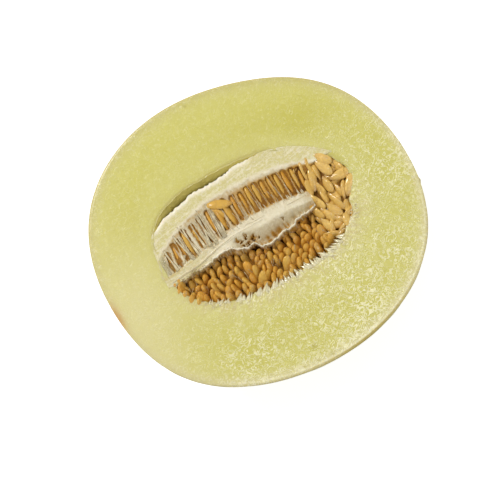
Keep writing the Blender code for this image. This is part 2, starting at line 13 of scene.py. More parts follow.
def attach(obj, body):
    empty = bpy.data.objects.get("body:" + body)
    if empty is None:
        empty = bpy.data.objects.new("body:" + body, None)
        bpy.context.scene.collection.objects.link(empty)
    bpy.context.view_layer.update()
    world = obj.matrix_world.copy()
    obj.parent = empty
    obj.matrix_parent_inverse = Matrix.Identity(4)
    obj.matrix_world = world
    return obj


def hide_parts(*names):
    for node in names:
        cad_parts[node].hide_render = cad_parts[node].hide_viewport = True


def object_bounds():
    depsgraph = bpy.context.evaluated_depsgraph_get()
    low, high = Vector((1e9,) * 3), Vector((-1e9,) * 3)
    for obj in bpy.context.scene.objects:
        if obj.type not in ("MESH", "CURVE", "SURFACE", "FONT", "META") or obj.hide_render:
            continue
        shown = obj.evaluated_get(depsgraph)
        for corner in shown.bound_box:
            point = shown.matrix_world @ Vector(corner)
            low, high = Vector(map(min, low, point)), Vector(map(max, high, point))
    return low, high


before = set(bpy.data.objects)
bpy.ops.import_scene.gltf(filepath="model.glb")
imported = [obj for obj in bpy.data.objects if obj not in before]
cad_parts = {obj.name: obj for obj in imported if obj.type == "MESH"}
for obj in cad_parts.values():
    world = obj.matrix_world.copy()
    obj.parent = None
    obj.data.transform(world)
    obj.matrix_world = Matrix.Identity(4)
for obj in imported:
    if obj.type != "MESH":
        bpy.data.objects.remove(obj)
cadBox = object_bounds()
mm = 0.001
cutLevel = 69.0  # ground to cut face
fullTurn = 2.0 * math.pi


# Colours and small helpers

def tint(red, green, blue):
    # Screen values from 0 to 255, as the linear colour that a shader takes
    def linear(value):
        share = value / 255.0
        return share / 12.92 if share <= 0.04045 else ((share + 0.055) / 1.055) ** 2.4
    return (linear(red), linear(green), linear(blue), 1.0)


def ease(low, high, value):
    share = np.clip((value - low) / (high - low), 0.0, 1.0)
    return share * share * (3.0 - 2.0 * share)


def hump(value, middle, reach):
    return np.exp(-(((value - middle) / reach) ** 2))


def area(x, y, place):
    # 1 in the middle of an area, which is given as x, reach, y, reach
    return hump(x, *place[:2]) * hump(y, *place[2:])


def softNoise(x, y, cell, seed):
    # Smooth noise from 0 to 1 over a plane; a pair of cells stretches it
    cellX, cellY = cell if isinstance(cell, tuple) else (cell, cell)
    table = np.random.RandomState(seed).rand(128, 128)
    gridX, gridY = x / cellX, y / cellY
    col, row = np.floor(gridX).astype(int), np.floor(gridY).astype(int)
    partX, partY = gridX - col, gridY - row
    partX = partX * partX * (3.0 - 2.0 * partX)
    partY = partY * partY * (3.0 - 2.0 * partY)

    def at(i, j):
        return table[i % 128, j % 128]

    near = at(col, row) * (1.0 - partX) + at(col + 1, row) * partX
    far = at(col, row + 1) * (1.0 - partX) + at(col + 1, row + 1) * partX
    return near * (1.0 - partY) + far * partY


def lineNoise(place, cell, seed):
    return softNoise(place, place * 0.0, cell, seed)


def ripples(x, y, waves):
    # Each wave is its cell, its height from trough to crest and its seed
    return sum((softNoise(x, y, cell, seed) - 0.5) * size for cell, size, seed in waves)


def buildMesh(name, points, faces, materials, faceMaterials=None, attributes=None):
    mesh = bpy.data.meshes.new(name)
    mesh.from_pydata((np.asarray(points) * mm).tolist(), [], faces)
    for material in materials:
        mesh.materials.append(material)
    if faceMaterials is not None:
        mesh.polygons.foreach_set("material_index", faceMaterials)
    for label, values in (attributes or {}).items():
        layer = mesh.attributes.new(label, "FLOAT", "POINT")
        layer.data.foreach_set("value", np.asarray(values, dtype=np.float32))
    mesh.shade_smooth()
    mesh.update()
    piece = bpy.data.objects.new(name, mesh)
    bpy.context.scene.collection.objects.link(piece)
    return piece


def gridFaces(rows, columns, start=0, closed=False):
    # Faces of a grid of points that runs row by row; a closed grid joins its last column to its first
    faces = []
    for row in range(rows - 1):
        for column in range(columns if closed else columns - 1):
            a = start + row * columns + column
            b = start + row * columns + (column + 1) % columns
            faces.append((a, b, b + columns, a + columns))
    return faces


# Shader helpers

def feed(tree, node, inputs):
    # Links what comes from another node, and sets the rest
    for key, value in inputs.items():
        if isinstance(value, bpy.types.NodeSocket):
            tree.links.new(value, node.inputs[key])
        else:
            node.inputs[key].default_value = value


def addNode(tree, kind, inputs, **settings):
    node = tree.nodes.new(kind)
    for key, value in settings.items():
        setattr(node, key, value)
    feed(tree, node, inputs)
    return node


def readValue(tree, label):
    return addNode(tree, "ShaderNodeAttribute", {}, attribute_name=label).outputs["Fac"]


def ownPlace(tree):
    return addNode(tree, "ShaderNodeTexCoord", {}).outputs["Object"]


def noise(tree, place, scale, detail, distortion=0.0):
    inputs = {"Vector": place, "Scale": scale, "Detail": detail, "Distortion": distortion}
    return addNode(tree, "ShaderNodeTexNoise", inputs).outputs["Fac"]


def calculate(tree, operation, first, second=0.0, clamp=False):
    return addNode(tree, "ShaderNodeMath", {0: first, 1: second}, operation=operation, use_clamp=clamp).outputs[0]


def times(tree, first, second, clamp=False):
    return calculate(tree, "MULTIPLY", first, second, clamp)


def plus(tree, first, second, clamp=False):
    return calculate(tree, "ADD", first, second, clamp)


def less(tree, first, second):
    return calculate(tree, "SUBTRACT", first, second)


def mixValues(tree, share, first, second):
    return addNode(tree, "ShaderNodeMix", {0: share, 2: first, 3: second}).outputs[0]


def mixColours(tree, share, first, second):
    return addNode(tree, "ShaderNodeMix", {0: share, 6: first, 7: second}, data_type="RGBA").outputs[2]


def overlay(tree, base, label, share, colour):
    # Lays a colour over the base where a value on the mesh says
    return mixColours(tree, times(tree, readValue(tree, label), share, clamp=True), base, colour)


def spread(tree, value, low, high, toLow=0.0, toHigh=1.0):
    inputs = {0: value, 1: low, 2: high, 3: toLow, 4: toHigh}
    return addNode(tree, "ShaderNodeMapRange", inputs, clamp=True).outputs[0]


def colourStops(tree, value, stops):
    node = addNode(tree, "ShaderNodeValToRGB", {"Fac": value})
    ramp = node.color_ramp
    ramp.elements[0].position, ramp.elements[0].color = stops[0]
    ramp.elements[1].position, ramp.elements[1].color = stops[-1]
    for position, colour in stops[1:-1]:
        ramp.elements.new(position).color = colour
    return node.outputs["Color"]


def newGroup(name, inputs, outputs):
    # All its sockets are plain numbers
    group = bpy.data.node_groups.new(name, "ShaderNodeTree")
    for label, value in inputs.items():
        group.interface.new_socket(label, in_out="INPUT", socket_type="NodeSocketFloat").default_value = value
    for label in outputs:
        group.interface.new_socket(label, in_out="OUTPUT", socket_type="NodeSocketFloat")
    return group, group.nodes.new("NodeGroupInput").outputs, group.nodes.new("NodeGroupOutput")


def moistSkinGroup():
    # Squiggly wet ridges: how strongly they show, and their height for a bump
    defaults = {"Size": 400.0, "Warp": 0.8, "Fine": 0.3, "Width": 0.055}
    group, entry, out = newGroup("moistSkin", defaults, ("Ridges", "Height"))
    place = ownPlace(group)
    worms = noise(group, place, entry["Size"], 1.5, entry["Warp"])
    away = calculate(group, "ABSOLUTE", less(group, worms, 0.5))
    ridges = spread(group, away, 0.0, entry["Width"], 1.0, 0.0)
    grains = noise(group, place, times(group, entry["Size"], 3.1), 2.0)
    height = plus(group, ridges, times(group, grains, entry["Fine"]))
    feed(group, out, {"Ridges": ridges, "Height": height})
    return group


def mottleGroup():
    # Soft cloudy patches at two scales, from 0 to 1
    group, entry, out = newGroup("mottle", {"Large": 40.0, "Small": 220.0, "Balance": 0.4}, ("Patches",))
    place = ownPlace(group)
    broad, close = noise(group, place, entry["Large"], 2.0), noise(group, place, entry["Small"], 3.0)
    patches = spread(group, mixValues(group, entry["Balance"], broad, close), 0.32, 0.68)
    feed(group, out, {"Patches": patches})
    return group


moistSkin = moistSkinGroup()
mottle = mottleGroup()


def moist(tree, size, warp, fine, width=0.055):
    inputs = {"Size": size, "Warp": warp, "Fine": fine, "Width": width}
    skin = addNode(tree, "ShaderNodeGroup", inputs, node_tree=moistSkin)
    return skin.outputs["Ridges"], skin.outputs["Height"]


def cloudy(tree, large, small, balance=0.5):
    inputs = {"Large": large, "Small": small, "Balance": balance}
    return addNode(tree, "ShaderNodeGroup", inputs, node_tree=mottle).outputs["Patches"]


def newMaterial(name):
    material = bpy.data.materials.new(name)
    material.use_nodes = True
    return material, material.node_tree


def finishMaterial(material, inputs, bump=None, glow=None):
    # Bump is its strength, distance and height; glow is the subsurface weight, radius and scale
    tree = material.node_tree
    feed(tree, tree.nodes["Principled BSDF"], inputs)
    if bump:
        node = addNode(tree, "ShaderNodeBump", dict(zip(("Strength", "Distance", "Height"), bump)))
        feed(tree, tree.nodes["Principled BSDF"], {"Normal": node.outputs["Normal"]})
    if glow:
        labels = ("Subsurface Weight", "Subsurface Radius", "Subsurface Scale")
        feed(tree, tree.nodes["Principled BSDF"], dict(zip(labels, glow)))
    return material


print("helpers ready")


# Camera, as the photograph looks down on the cut face

cameraSettings = {
    "distance": 1.15,
    "tilt": 10.0,  # off straight down
    "tiltTowards": -78.0,
    "turn": 28.0,  # the core's angle in the picture
    "middle": (-7.6, -7.3, cutLevel),
    "widthSeen": 229.0,  # mm over the whole picture
    "sensor": 36.0,
}


def makeCamera():
    tilt, towards, turn = (math.radians(cameraSettings[key]) for key in ("tilt", "tiltTowards", "turn"))
    back = Vector((math.sin(tilt) * math.cos(towards), math.sin(tilt) * math.sin(towards), math.cos(tilt)))
    side = (-back).cross(Vector((math.sin(turn), math.cos(turn), 0.0))).normalized()
    up = side.cross(-back).normalized()
    data = bpy.data.cameras.new("camera")
    data.sensor_width = cameraSettings["sensor"]
    data.lens = data.sensor_width * cameraSettings["distance"] / (cameraSettings["widthSeen"] * mm)
    camera = bpy.data.objects.new("camera", data)
    place = Vector(cameraSettings["middle"]) * mm + back * cameraSettings["distance"]
    camera.matrix_world = Matrix.Translation(place) @ Matrix((side, up, back)).transposed().to_4x4()
    bpy.context.scene.collection.objects.link(camera)
    bpy.context.scene.camera = camera


makeCamera()


# Light and floor

lightSettings = {
    "world": (1.0, 1.0, 1.0, 1.0),
    "worldStrength": 0.50,
    # name, place in metres, width, watts
    "lamps": (
        ("keyLamp", (-0.42, 0.85, 1.15), 0.42, 12.0),
        ("glossLamp", (0.02, 0.11, 1.30), 0.14, 0.65),
        ("fillLamp", (0.75, -0.70, 0.80), 0.80, 2.8),
    ),
    "aim": (0.0, 0.0, 0.05),
    "floorColour": tint(236, 236, 234),
    "floorGlow": 0.6,  # seen by the camera alone, so that the paper is plain white
    "floorHalf": 4.0,
}


def makeLights():
    world = bpy.data.worlds.new("studio")
    bpy.context.scene.world = world
    world.use_nodes = True
    background = {"Color": lightSettings["world"], "Strength": lightSettings["worldStrength"]}
    feed(world.node_tree, world.node_tree.nodes["Background"], background)
    for name, place, width, watts in lightSettings["lamps"]:
        data = bpy.data.lights.new(name, "AREA")
        data.size = width
        data.energy = watts
        lamp = bpy.data.objects.new(name, data)
        lamp.location = place
        lamp.rotation_euler = (Vector(lightSettings["aim"]) - Vector(place)).to_track_quat("-Z", "Y").to_euler()
        bpy.context.scene.collection.objects.link(lamp)
    bpy.context.scene.view_settings.view_transform = "Standard"


def makeFloor():
    material, tree = newMaterial("palePaper")
    seen = addNode(tree, "ShaderNodeLightPath", {}).outputs["Is Camera Ray"]
    finishMaterial(material, {
        "Base Color": lightSettings["floorColour"], "Roughness": 0.9, "Emission Color": (1.0, 1.0, 1.0, 1.0),
        "Emission Strength": times(tree, seen, lightSettings["floorGlow"]),
    })
    mesh = bpy.data.meshes.new("floor")
    half = lightSettings["floorHalf"]
    mesh.from_pydata([(-half, -half, 0), (half, -half, 0), (half, half, 0), (-half, half, 0)], [], [(0, 1, 2, 3)])
    mesh.materials.append(material)
    floor = bpy.data.objects.new("floor", mesh)
    bpy.context.scene.collection.objects.link(floor)


makeLights()
makeFloor()
print("camera, light and floor ready")


# Outlines in the cut face, the same as the solids have

melonShape = {
    "belly": 70.0,  # cut face to the lowest point, before the flat spot
    "meanRadius": 74.4,
    # how many times each wave of the rim repeats, how far it swells, and where in degrees
    "rimWaves": ((2, 3.9, -25.5), (3, 0.6, -13.8), (4, 1.1, 171.3), (6, 0.3, -158.8)),
    "cavityMiddle": (1.5, 2.3),
    "stemReach": 50.3,
    "tailReach": 48.0,
    "upperReach": 30.5,
    "lowerReach": 30.0,
    "cavityDepth": 30.0,
    "squareness": (1.78, 3.3, 2.4, 2.25),  # upper stem, upper tail, lower tail, lower stem
    "drawnIn": (2.6, -14.0, 10.0),  # how far, and where round the mouth
    "crescent": (4.2, 42.0, 140.0, 163.0),  # width, then where it opens, is widest and closes
}


def rimRadius(turn, level=1.0):
    swell = sum(size * np.cos(count * turn - math.radians(at)) for count, size, at in melonShape["rimWaves"])
    return melonShape["meanRadius"] + swell * level


def cavityRadius(turn):
    along, across = np.cos(turn), np.sin(turn)
    reachAlong = np.where(along > 0, melonShape["stemReach"], melonShape["tailReach"])
    reachAcross = np.where(across > 0, melonShape["upperReach"], melonShape["lowerReach"])
    upperStem, upperTail, lowerTail, lowerStem = melonShape["squareness"]
    power = np.where(across > 0, np.where(along > 0, upperStem, upperTail), np.where(along > 0, lowerStem, lowerTail))
    full = (np.abs(along / reachAlong) ** power + np.abs(across / reachAcross) ** power) ** (-1.0 / power)
    size, at, width = melonShape["drawnIn"]
    return full - size * hump(np.degrees(np.arctan2(across, along)), at, width)


def crescentGap(turn):
    width, opens, widest, closes = melonShape["crescent"]
    degrees = np.degrees(turn) % 360.0
    opening = width * ease(opens, widest, degrees) ** 0.8
    closing = width * (1.0 - ease(widest, closes, degrees))
    return np.where(degrees <= widest, opening, closing)


def headings(turn):
    return np.stack([np.cos(turn), np.sin(turn)], 1)


rimLine = headings(np.linspace(0.0, fullTurn, 1441)) * rimRadius(np.linspace(0.0, fullTurn, 1441))[:, None]
rimMiddle = -rimLine.max(0) / 2.0 - rimLine.min(0) / 2.0
cavityMiddle = np.array(melonShape["cavityMiddle"])


# Flesh and rind

fleshSettings = {
    "around": 640,
    "wallRings": 24,
    "faceRings": 62,
    "rindRings": 54,
    # torn edge over the seeds, from and to in degrees
    "toothFrom": 206.0,
    "toothTo": 326.0,
    "teethLength": 1.3,
    "teethPitch": 2.2,
    "lowerDrop": 1.1,  # how far the mouth's edge falls there, and at the stem end
    "stemDrop": 0.9,
    "gapSlope": 0.85,  # how deep the gap is for its width
    # waves of the mouth, the wall, the cut face and the rind: cell, height and seed
    "mouthWaves": ((3.0, 0.5, 23), (0.9, 0.25, 24)),
    "wallWaves": ((1.6, 0.5, 31),),
    "faceWaves": ((30.0, 0.20, 41), (6.0, 0.08, 42), (1.7, 0.06, 43)),
    "rindWaves": ((9.0, 0.35, 51),),
    # stem and blossom: turn in degrees, height against the cut face, radius, ring and dip
    "scars": ((-7.0, -2.0, 7.5, (0.5, 0.85, 0.16), (1.1, 0.55)), (178.0, -1.0, 6.0, (0.3, 0.9, 0.14), (0.5, 0.4))),
    # strength and area of what colours the cut face
    "greener": ((1.0, (40.0, 16.0, 34.0, 10.0)), (0.6, (12.0, 20.0, 42.0, 8.0)), (0.6, (-12.0, 22.0, -46.0, 7.0)),
                (0.5, (-50.0, 10.0, 28.0, 16.0))),
    "blush": (-76.5, 2.6, -6.0, 7.0),
    "creamy": (-66.0, 18.0, -10.0, 40.0),
    # along, across and radius of small dark marks in the cut face
    "marks": ((3.4, -67.3, 0.8), (-4.0, -66.7, 0.8), (-10.7, -66.6, 0.6), (-27.8, -52.6, 0.6), (-2.6, -60.4, 1.3),
              (-2.7, 66.5, 0.7)),
}


def scarMark(turn, height, scar):
    # 1 inside the scar, fading at its edge, and how far out in it
    at, level, radius = scar[:3]
    sideways = rimRadius(turn) * np.radians((np.degrees(turn) - at + 180.0) % 360.0 - 180.0)
    away = np.hypot(sideways, height - level)
    return 1.0 - ease(radius * 0.3, radius * 1.15, away), away / radius


def mouthForm(turn):
    # The edge of the cavity at each turn: radius, torn teeth, ledge, drop and crescent gap
    s = fleshSettings
    degrees = np.degrees(turn)
    mouth = cavityRadius(turn)
    arc = np.cumsum(mouth) * (fullTurn / len(turn))
    lower = ease(s["toothFrom"] - 14, s["toothFrom"], degrees) * (1.0 - ease(s["toothTo"] - 10, s["toothTo"], degrees))
    spikes = lineNoise(arc, s["teethPitch"], 21) ** 2.2 + 0.45 * lineNoise(arc, s["teethPitch"] * 0.37, 22) ** 2
    teeth = s["teethLength"] * spikes * lower + ripples(arc, arc * 0.0, s["mouthWaves"]) * (1.0 - lower)
    signed = (degrees + 180.0) % 360.0 - 180.0
    stemEnd = ease(-42.0, -26.0, signed) * (1.0 - ease(36.0, 50.0, signed))
    ledge = stemEnd * (0.8 + 2.0 * lineNoise(arc, 3.4, 25) + 0.7 * lineNoise(arc, 1.1, 26))
    return mouth, teeth, ledge, s["lowerDrop"] * lower + s["stemDrop"] * stemEnd, lower, crescentGap(turn)


def wallRings(turn, form):
    # Cavity wall from its bottom to the mouth, as rings of points with their zone
    s, deepest = fleshSettings, melonShape["cavityDepth"]
    mouth, teeth, ledge, drop, _, opened = form
    for ring in range(s["wallRings"]):
        depth = deepest * (1.0 - (ring + 0.35) / s["wallRings"]) ** 2.2
        angle = math.asin(min(depth / deepest, 1.0))
        radius = mouth * math.cos(angle) - teeth * math.exp(-depth / 0.6) - ledge * math.exp(-depth / 3.0)
        slope = ease(-0.4, 0.25 + s["gapSlope"] * opened, depth) ** 0.8
        radius = radius - (opened + 0.4) * slope * (opened > 0.02)
        place = cavityMiddle + headings(turn) * radius[:, None]
        rough = ripples(place[:, 0], place[:, 1] + depth * 2, s["wallWaves"])
        level = cutLevel - depth - drop * math.exp(-depth / 3.0)
        # the wall's zone falls with depth and sets its painted shade
        yield place + headings(turn) * rough[:, None], level, -1.0 + 0.9 * math.exp(-depth / 3.0)


def faceRings(turn, form):
    # Cut face from the mouth to the rim
    s = fleshSettings
    mouth, teeth, ledge, drop, lower, opened = form
    inner = cavityMiddle + headings(turn) * (mouth - teeth - ledge)[:, None]
    outer = rimMiddle + headings(turn) * rimRadius(turn)[:, None]
    span = np.linalg.norm(outer - inner, axis=1)
    for ring in range(s["faceRings"] + 1):
        share = ring / s["faceRings"]
        share = share - 0.06 * math.sin(2.0 * math.pi * share)  # rings closer at both edges
        place = inner + (outer - inner) * share
        x, y = place[:, 0], place[:, 1]
        fromMouth, fromRim = span * share, span * (1.0 - share)
        height = ripples(x, y, s["faceWaves"])
        height -= 0.45 * np.exp(-fromRim / 0.6) + (0.1 + 0.4 * (opened > 0.3)) * np.exp(-fromMouth / 0.7)
        height -= drop * np.exp(-fromMouth / 2.0)
        height -= 0.55 * lower * np.exp(-fromMouth / 3.0) * softNoise(x, y, 1.3, 44)
        yield place, cutLevel + height, share


def rindRings(turn):
    # Rind from the rim to the flat spot
    s, belly = fleshSettings, melonShape["belly"]
    for ring in range(1, s["rindRings"] + 1):
        share = ring / s["rindRings"]
        angle = math.asin(cutLevel / belly) * share
        level = math.cos(angle)
        radius = rimRadius(turn, level) * level
        z = cutLevel - belly * math.sin(angle)
        x, y = np.cos(turn) * radius, np.sin(turn) * radius
        bumps = ripples(x + z, y - z, s["rindWaves"])
        for scar in s["scars"]:
            (rise, at, reach), (dip, dipReach) = scar[3:]
            mark, away = scarMark(turn, z - cutLevel, scar)
            bumps = bumps + rise * hump(away, at, reach) - dip * mark * hump(away, 0.0, dipReach)
        bumps = bumps * (1.0 - ease(0.90, 0.99, share))
        radius = radius + bumps - 0.2 * ease(0.0, 0.08, share)
        yield rimMiddle + headings(turn) * radius[:, None], z, 1.0 + share


def fleshMarks(points, zones):
    # The values on the mesh that colour the flesh and the rind
    s = fleshSettings
    x, y = points[:, 0], points[:, 1]
    # The painted glints of the wet flesh lie to the lower side of the picture
    paintedGlintArea = ease(-25.0, 45.0, 0.50 * x - 0.87 * y) * (0.7 + 0.3 * hump(x, 15.0, 45.0) * ease(-10.0, -30.0, y))
    angles, height = np.arctan2(y, x), points[:, 2] - cutLevel
    turn = np.arctan2(y - cavityMiddle[1], x - cavityMiddle[0])
    degrees = np.degrees(turn) % 360.0
    outside = np.hypot(x - cavityMiddle[0], y - cavityMiddle[1]) - cavityRadius(turn)
    brushed = softNoise(degrees, outside, (0.9, 5.0), 61) * 0.6 + softNoise(degrees, outside, (0.4, 3.0), 62) * 0.4
    brushed = ease(0.35, 0.7, brushed) * np.exp(-(np.maximum(outside, 0.0) / 6.5) ** 2)
    belowBank = ease(180.0, 215.0, degrees) * (1.0 - ease(335.0, 360.0, degrees))
    creamy = 0.8 * area(x, y, s["creamy"]) + 0.4 * belowBank * np.exp(-(np.maximum(outside, 0.0) / 6.0) ** 2)
    return {
        "zone": zones,
        "paintedGlintArea": paintedGlintArea,
        "greener": sum(share * area(x, y, place) for share, place in s["greener"]),
        "blush": area(x, y, s["blush"]),
        # along the lower rim, creamy also holds a painted sheen band that follows the glint area
        "creamy": creamy + 0.9 * paintedGlintArea * ease(0.86, 0.97, zones),
        "scars": sum(scarMark(angles, height, scar)[0] for scar in s["scars"]),
        "brushed": brushed * (0.15 + 0.85 * belowBank),
        "marks": sum(hump(np.hypot(x - along, y - across), 0.0, radius) for along, across, radius in s["marks"]),
        "rimRind": ease(0.966, 0.978, zones) * hump(np.degrees(angles), -72.0, 28.0),
    }


def makeFlesh(materials):
    around = fleshSettings["around"]
    turn = np.linspace(0.0, fullTurn, around, endpoint=False)
    form = mouthForm(turn)
    points, zones, kinds = [], [], []
    for kind, rings in enumerate((wallRings(turn, form), faceRings(turn, form), rindRings(turn))):
        for place, level, zone in rings:
            points.append(np.column_stack([place, np.full(around, level)]))
            zones.append(np.full(around, zone))
            kinds.append(kind)
    faces = gridFaces(len(points), around, closed=True)
    points = np.concatenate(points)
    # Close the bottom of the cavity and the flat spot
    first, last = len(points), len(points) - around
    bottom = np.append(cavityMiddle, cutLevel - melonShape["cavityDepth"])
    under = np.append(points[last:, :2].mean(0), points[-1, 2])
    points = np.clip(np.vstack([points, bottom, under]), np.array(cadBox[0]) / mm, np.array(cadBox[1]) / mm)
    faces += [(first, (i + 1) % around, i) for i in range(around)]
    faces += [(first + 1, last + i, last + (i + 1) % around) for i in range(around)]
    faceKinds = np.repeat(kinds[1:], around).tolist() + [0] * around + [2] * around
    attributes = fleshMarks(points, np.concatenate(zones + [[-1.0], [2.0]]))
    piece = buildMesh("fleshAndRind", points, faces, materials, faceKinds, attributes)
    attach(piece, "root")
    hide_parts("melon_flesh")
    return piece


fleshColours = {
    "stops": (
        (0.000, tint(199, 188, 112)),
        (0.050, tint(200, 192, 104)),
        (0.140, tint(205, 198, 113)),
        (0.340, tint(204, 197, 110)),
        (0.600, tint(203, 196, 103)),
        (0.800, tint(205, 198, 109)),
        (0.900, tint(204, 196, 116)),
        (0.978, tint(195, 185, 116)),
        (0.990, tint(200, 187, 124)),
        (1.000, tint(176, 154, 88)),
    ),
    "green": tint(196, 188, 88),
    # painted highlight colour of the glints on the wet flesh
    "paintedGlint": tint(244, 238, 198),
    # cavity wall: olive painted shade, darkest deep down
    "wallShadeAtMouth": tint(194, 177, 84),
    "wallShadeDeep": tint(152, 134, 46),
    "wallCloud": tint(204, 192, 104),
    # laid on where the mesh says, with their shares, under the painted glints and over them
    "underShine": (("creamy", 0.75, tint(224, 214, 165)), ("brushed", 0.6, tint(194, 174, 122))),
    "overShine": (("marks", 0.6, tint(172, 160, 70)), ("blush", 0.8, tint(196, 140, 72)),
                  ("rimRind", 1.0, tint(184, 166, 92))),
}


def cutFleshMaterial():
    material, tree = newMaterial("cutFlesh")
    zone, glintArea = readValue(tree, "zone"), readValue(tree, "paintedGlintArea")
    patches = cloudy(tree, 38.0, 260.0, 0.45)
    shifted = plus(tree, zone, times(tree, less(tree, patches, 0.5), 0.05))
    base = colourStops(tree, mixValues(tree, spread(tree, zone, 0.90, 0.95), shifted, zone), fleshColours["stops"])
    green = times(tree, readValue(tree, "greener"), 0.9, clamp=True)
    green = plus(tree, green, spread(tree, patches, 0.55, 1.0, 0.0, 0.28), clamp=True)
    green = plus(tree, green, times(tree, glintArea, 0.5), clamp=True)
    inside = times(tree, spread(tree, zone, 0.08, 0.3), spread(tree, zone, 0.92, 0.80))
    base = mixColours(tree, times(tree, green, inside), base, fleshColours["green"])
    for label, share, colour in fleshColours["underShine"]:
        base = overlay(tree, base, label, share, colour)
    # Painted glints along wet squiggles, wider and stronger towards the low rim, and a painted glint along the lower
    # rim
    cover = times(tree, glintArea, spread(tree, zone, 0.1, 0.95, 0.6, 1.0))
    ridges, height = moist(tree, 400.0, 1.4, 0.3, spread(tree, cover, 0.1, 1.0, 0.04, 0.115))
    paintedGlint = times(tree, spread(tree, ridges, 0.32, 0.74), spread(tree, glintArea, 0.0, 1.0, 0.22, 0.9))
    paintedGlint = times(tree, paintedGlint, spread(tree, patches, 0.3, 0.7, 0.5, 1.0))
    rimGlint = times(tree, spread(tree, zone, 0.945, 0.96), spread(tree, zone, 0.985, 0.97))
    paintedGlint = plus(tree, paintedGlint, times(tree, rimGlint, spread(tree, glintArea, 0.5, 1.0, 0.0, 0.5)), clamp=True)
    base = mixColours(tree, paintedGlint, base, fleshColours["paintedGlint"])
    for label, share, colour in fleshColours["overShine"]:
        base = overlay(tree, base, label, share, colour)
    height = times(tree, height, spread(tree, glintArea, 0.0, 1.0, 0.2, 1.0))
    inputs = {"Base Color": base, "Roughness": spread(tree, patches, 0.0, 1.0, 0.16, 0.34), "IOR": 1.42}
    return finishMaterial(material, inputs, (0.3, 0.0005, height), (0.25, (1.0, 0.9, 0.35), 0.0035))


def cavityWallMaterial():
    material, tree = newMaterial("cavityWall")
    # Painted shade: the wall darkens from the mouth down into the cavity
    shadeFade = spread(tree, readValue(tree, "zone"), -1.0, -0.1)
    base = mixColours(tree, shadeFade, fleshColours["wallShadeDeep"], fleshColours["wallShadeAtMouth"])
    base = mixColours(tree, times(tree, cloudy(tree, 120.0, 500.0), 0.25), base, fleshColours["wallCloud"])
    height = moist(tree, 300.0, 0.4, 0.6)[1]
    return finishMaterial(material, {"Base Color": base, "Roughness": 0.45}, (0.4, 0.0005, height))


rindColours = {
    "pale": tint(222, 214, 160),
    "olive": tint(202, 194, 122),
    "cork": tint(170, 138, 84),
    "edge": tint(176, 156, 84),
}


def rindMaterial():
    material, tree = newMaterial("rindSkin")
    patches = cloudy(tree, 26.0, 150.0)
    base = mixColours(tree, patches, rindColours["pale"], rindColours["olive"])
    place = ownPlace(tree)
    flecks = addNode(tree, "ShaderNodeTexVoronoi", {"Vector": place, "Scale": 210.0, "Randomness": 1.0})
    fleck = spread(tree, flecks.outputs["Distance"], 0.10, 0.17, 1.0, 0.0)
    base = mixColours(tree, times(tree, fleck, spread(tree, patches, 0.45, 0.8, 0.0, 0.55)), base, rindColours["cork"])
    fromLine = calculate(tree, "ABSOLUTE", less(tree, noise(tree, place, 34.0, 6.0, 1.2), 0.53))
    scuffed = spread(tree, noise(tree, place, 12.0, 1.0), 0.52, 0.66, 0.0, 0.7)
    corky = times(tree, spread(tree, fromLine, 0.0, 0.004, 1.0, 0.0), scuffed)
    base = mixColours(tree, corky, base, rindColours["cork"])
    nearCut = spread(tree, readValue(tree, "zone"), 1.03, 1.0, 0.0, 0.7)
    base = mixColours(tree, nearCut, base, rindColours["edge"])
    base = overlay(tree, base, "scars", 0.5, rindColours["cork"])
    height = plus(tree, times(tree, noise(tree, place, 900.0, 2.0), 0.35), times(tree, corky, 0.8))
    return finishMaterial(material, {
        "Base Color": base, "Roughness": spread(tree, patches, 0.0, 1.0, 0.34, 0.48),
        "Coat Weight": 0.15, "Coat Roughness": 0.3,
    }, (0.25, 0.0003, height))


flesh = makeFlesh([cavityWallMaterial(), cutFleshMaterial(), rindMaterial()])
print("flesh and rind ready:", len(flesh.data.polygons), "faces")


# Lines that the pulp and the seeds share

rowLines = {
    "upperMiddle": (13.4, 2.0, 0.004),  # highest, where, and how fast it falls
    "upperHalfWidth": (8.2, 1.3, -19.0, 12.0),
    "upperEnds": (-49.0, 43.0),
    "upperBlunt": 0.45,
    "bankEdge": (-4.6, 5.4, 1.0, 14.0),
    "bankMargin": (-26.5, -1.0, 0.0064),
    "pocketEnds": (28.6, 60.0),
    "pocketMiddle": -5.0,
    "pocketHalfWidth": 20.5,
}


def upperMiddle(along):
    top, at, bow = rowLines["upperMiddle"]
    return top - bow * (along - at) ** 2


def upperHalfWidth(along):
    width, swell, at, reach = rowLines["upperHalfWidth"]
    first, last = rowLines["upperEnds"]
    fromMiddle = np.clip((2.0 * along - first - last) / (last - first), -0.999, 0.999)
    return (width + swell * hump(along, at, reach)) * (1.0 - fromMiddle ** 2) ** (rowLines["upperBlunt"] / 2.0)


def bankEdge(along):
    level, dip, at, reach = rowLines["bankEdge"]
    return level - dip * hump(along, at, reach)


def bankMargin(along):
    level, at, bow = rowLines["bankMargin"]
    return level + bow * (along - at) ** 2


# Seeds

seedShape = {
    "length": 12.0,
    "width": 4.5,
    "thickness": 2.4,
    "bankThickness": 2.6,
    "taper": 0.26,
    "sides": 22,
    "rings": 17,
    # how much each seed bows, waves, is dented and cupped, at most
    "bow": 0.35,
    "wave": 0.08,
    "dent": 0.35,
    "cup": 0.25,
}


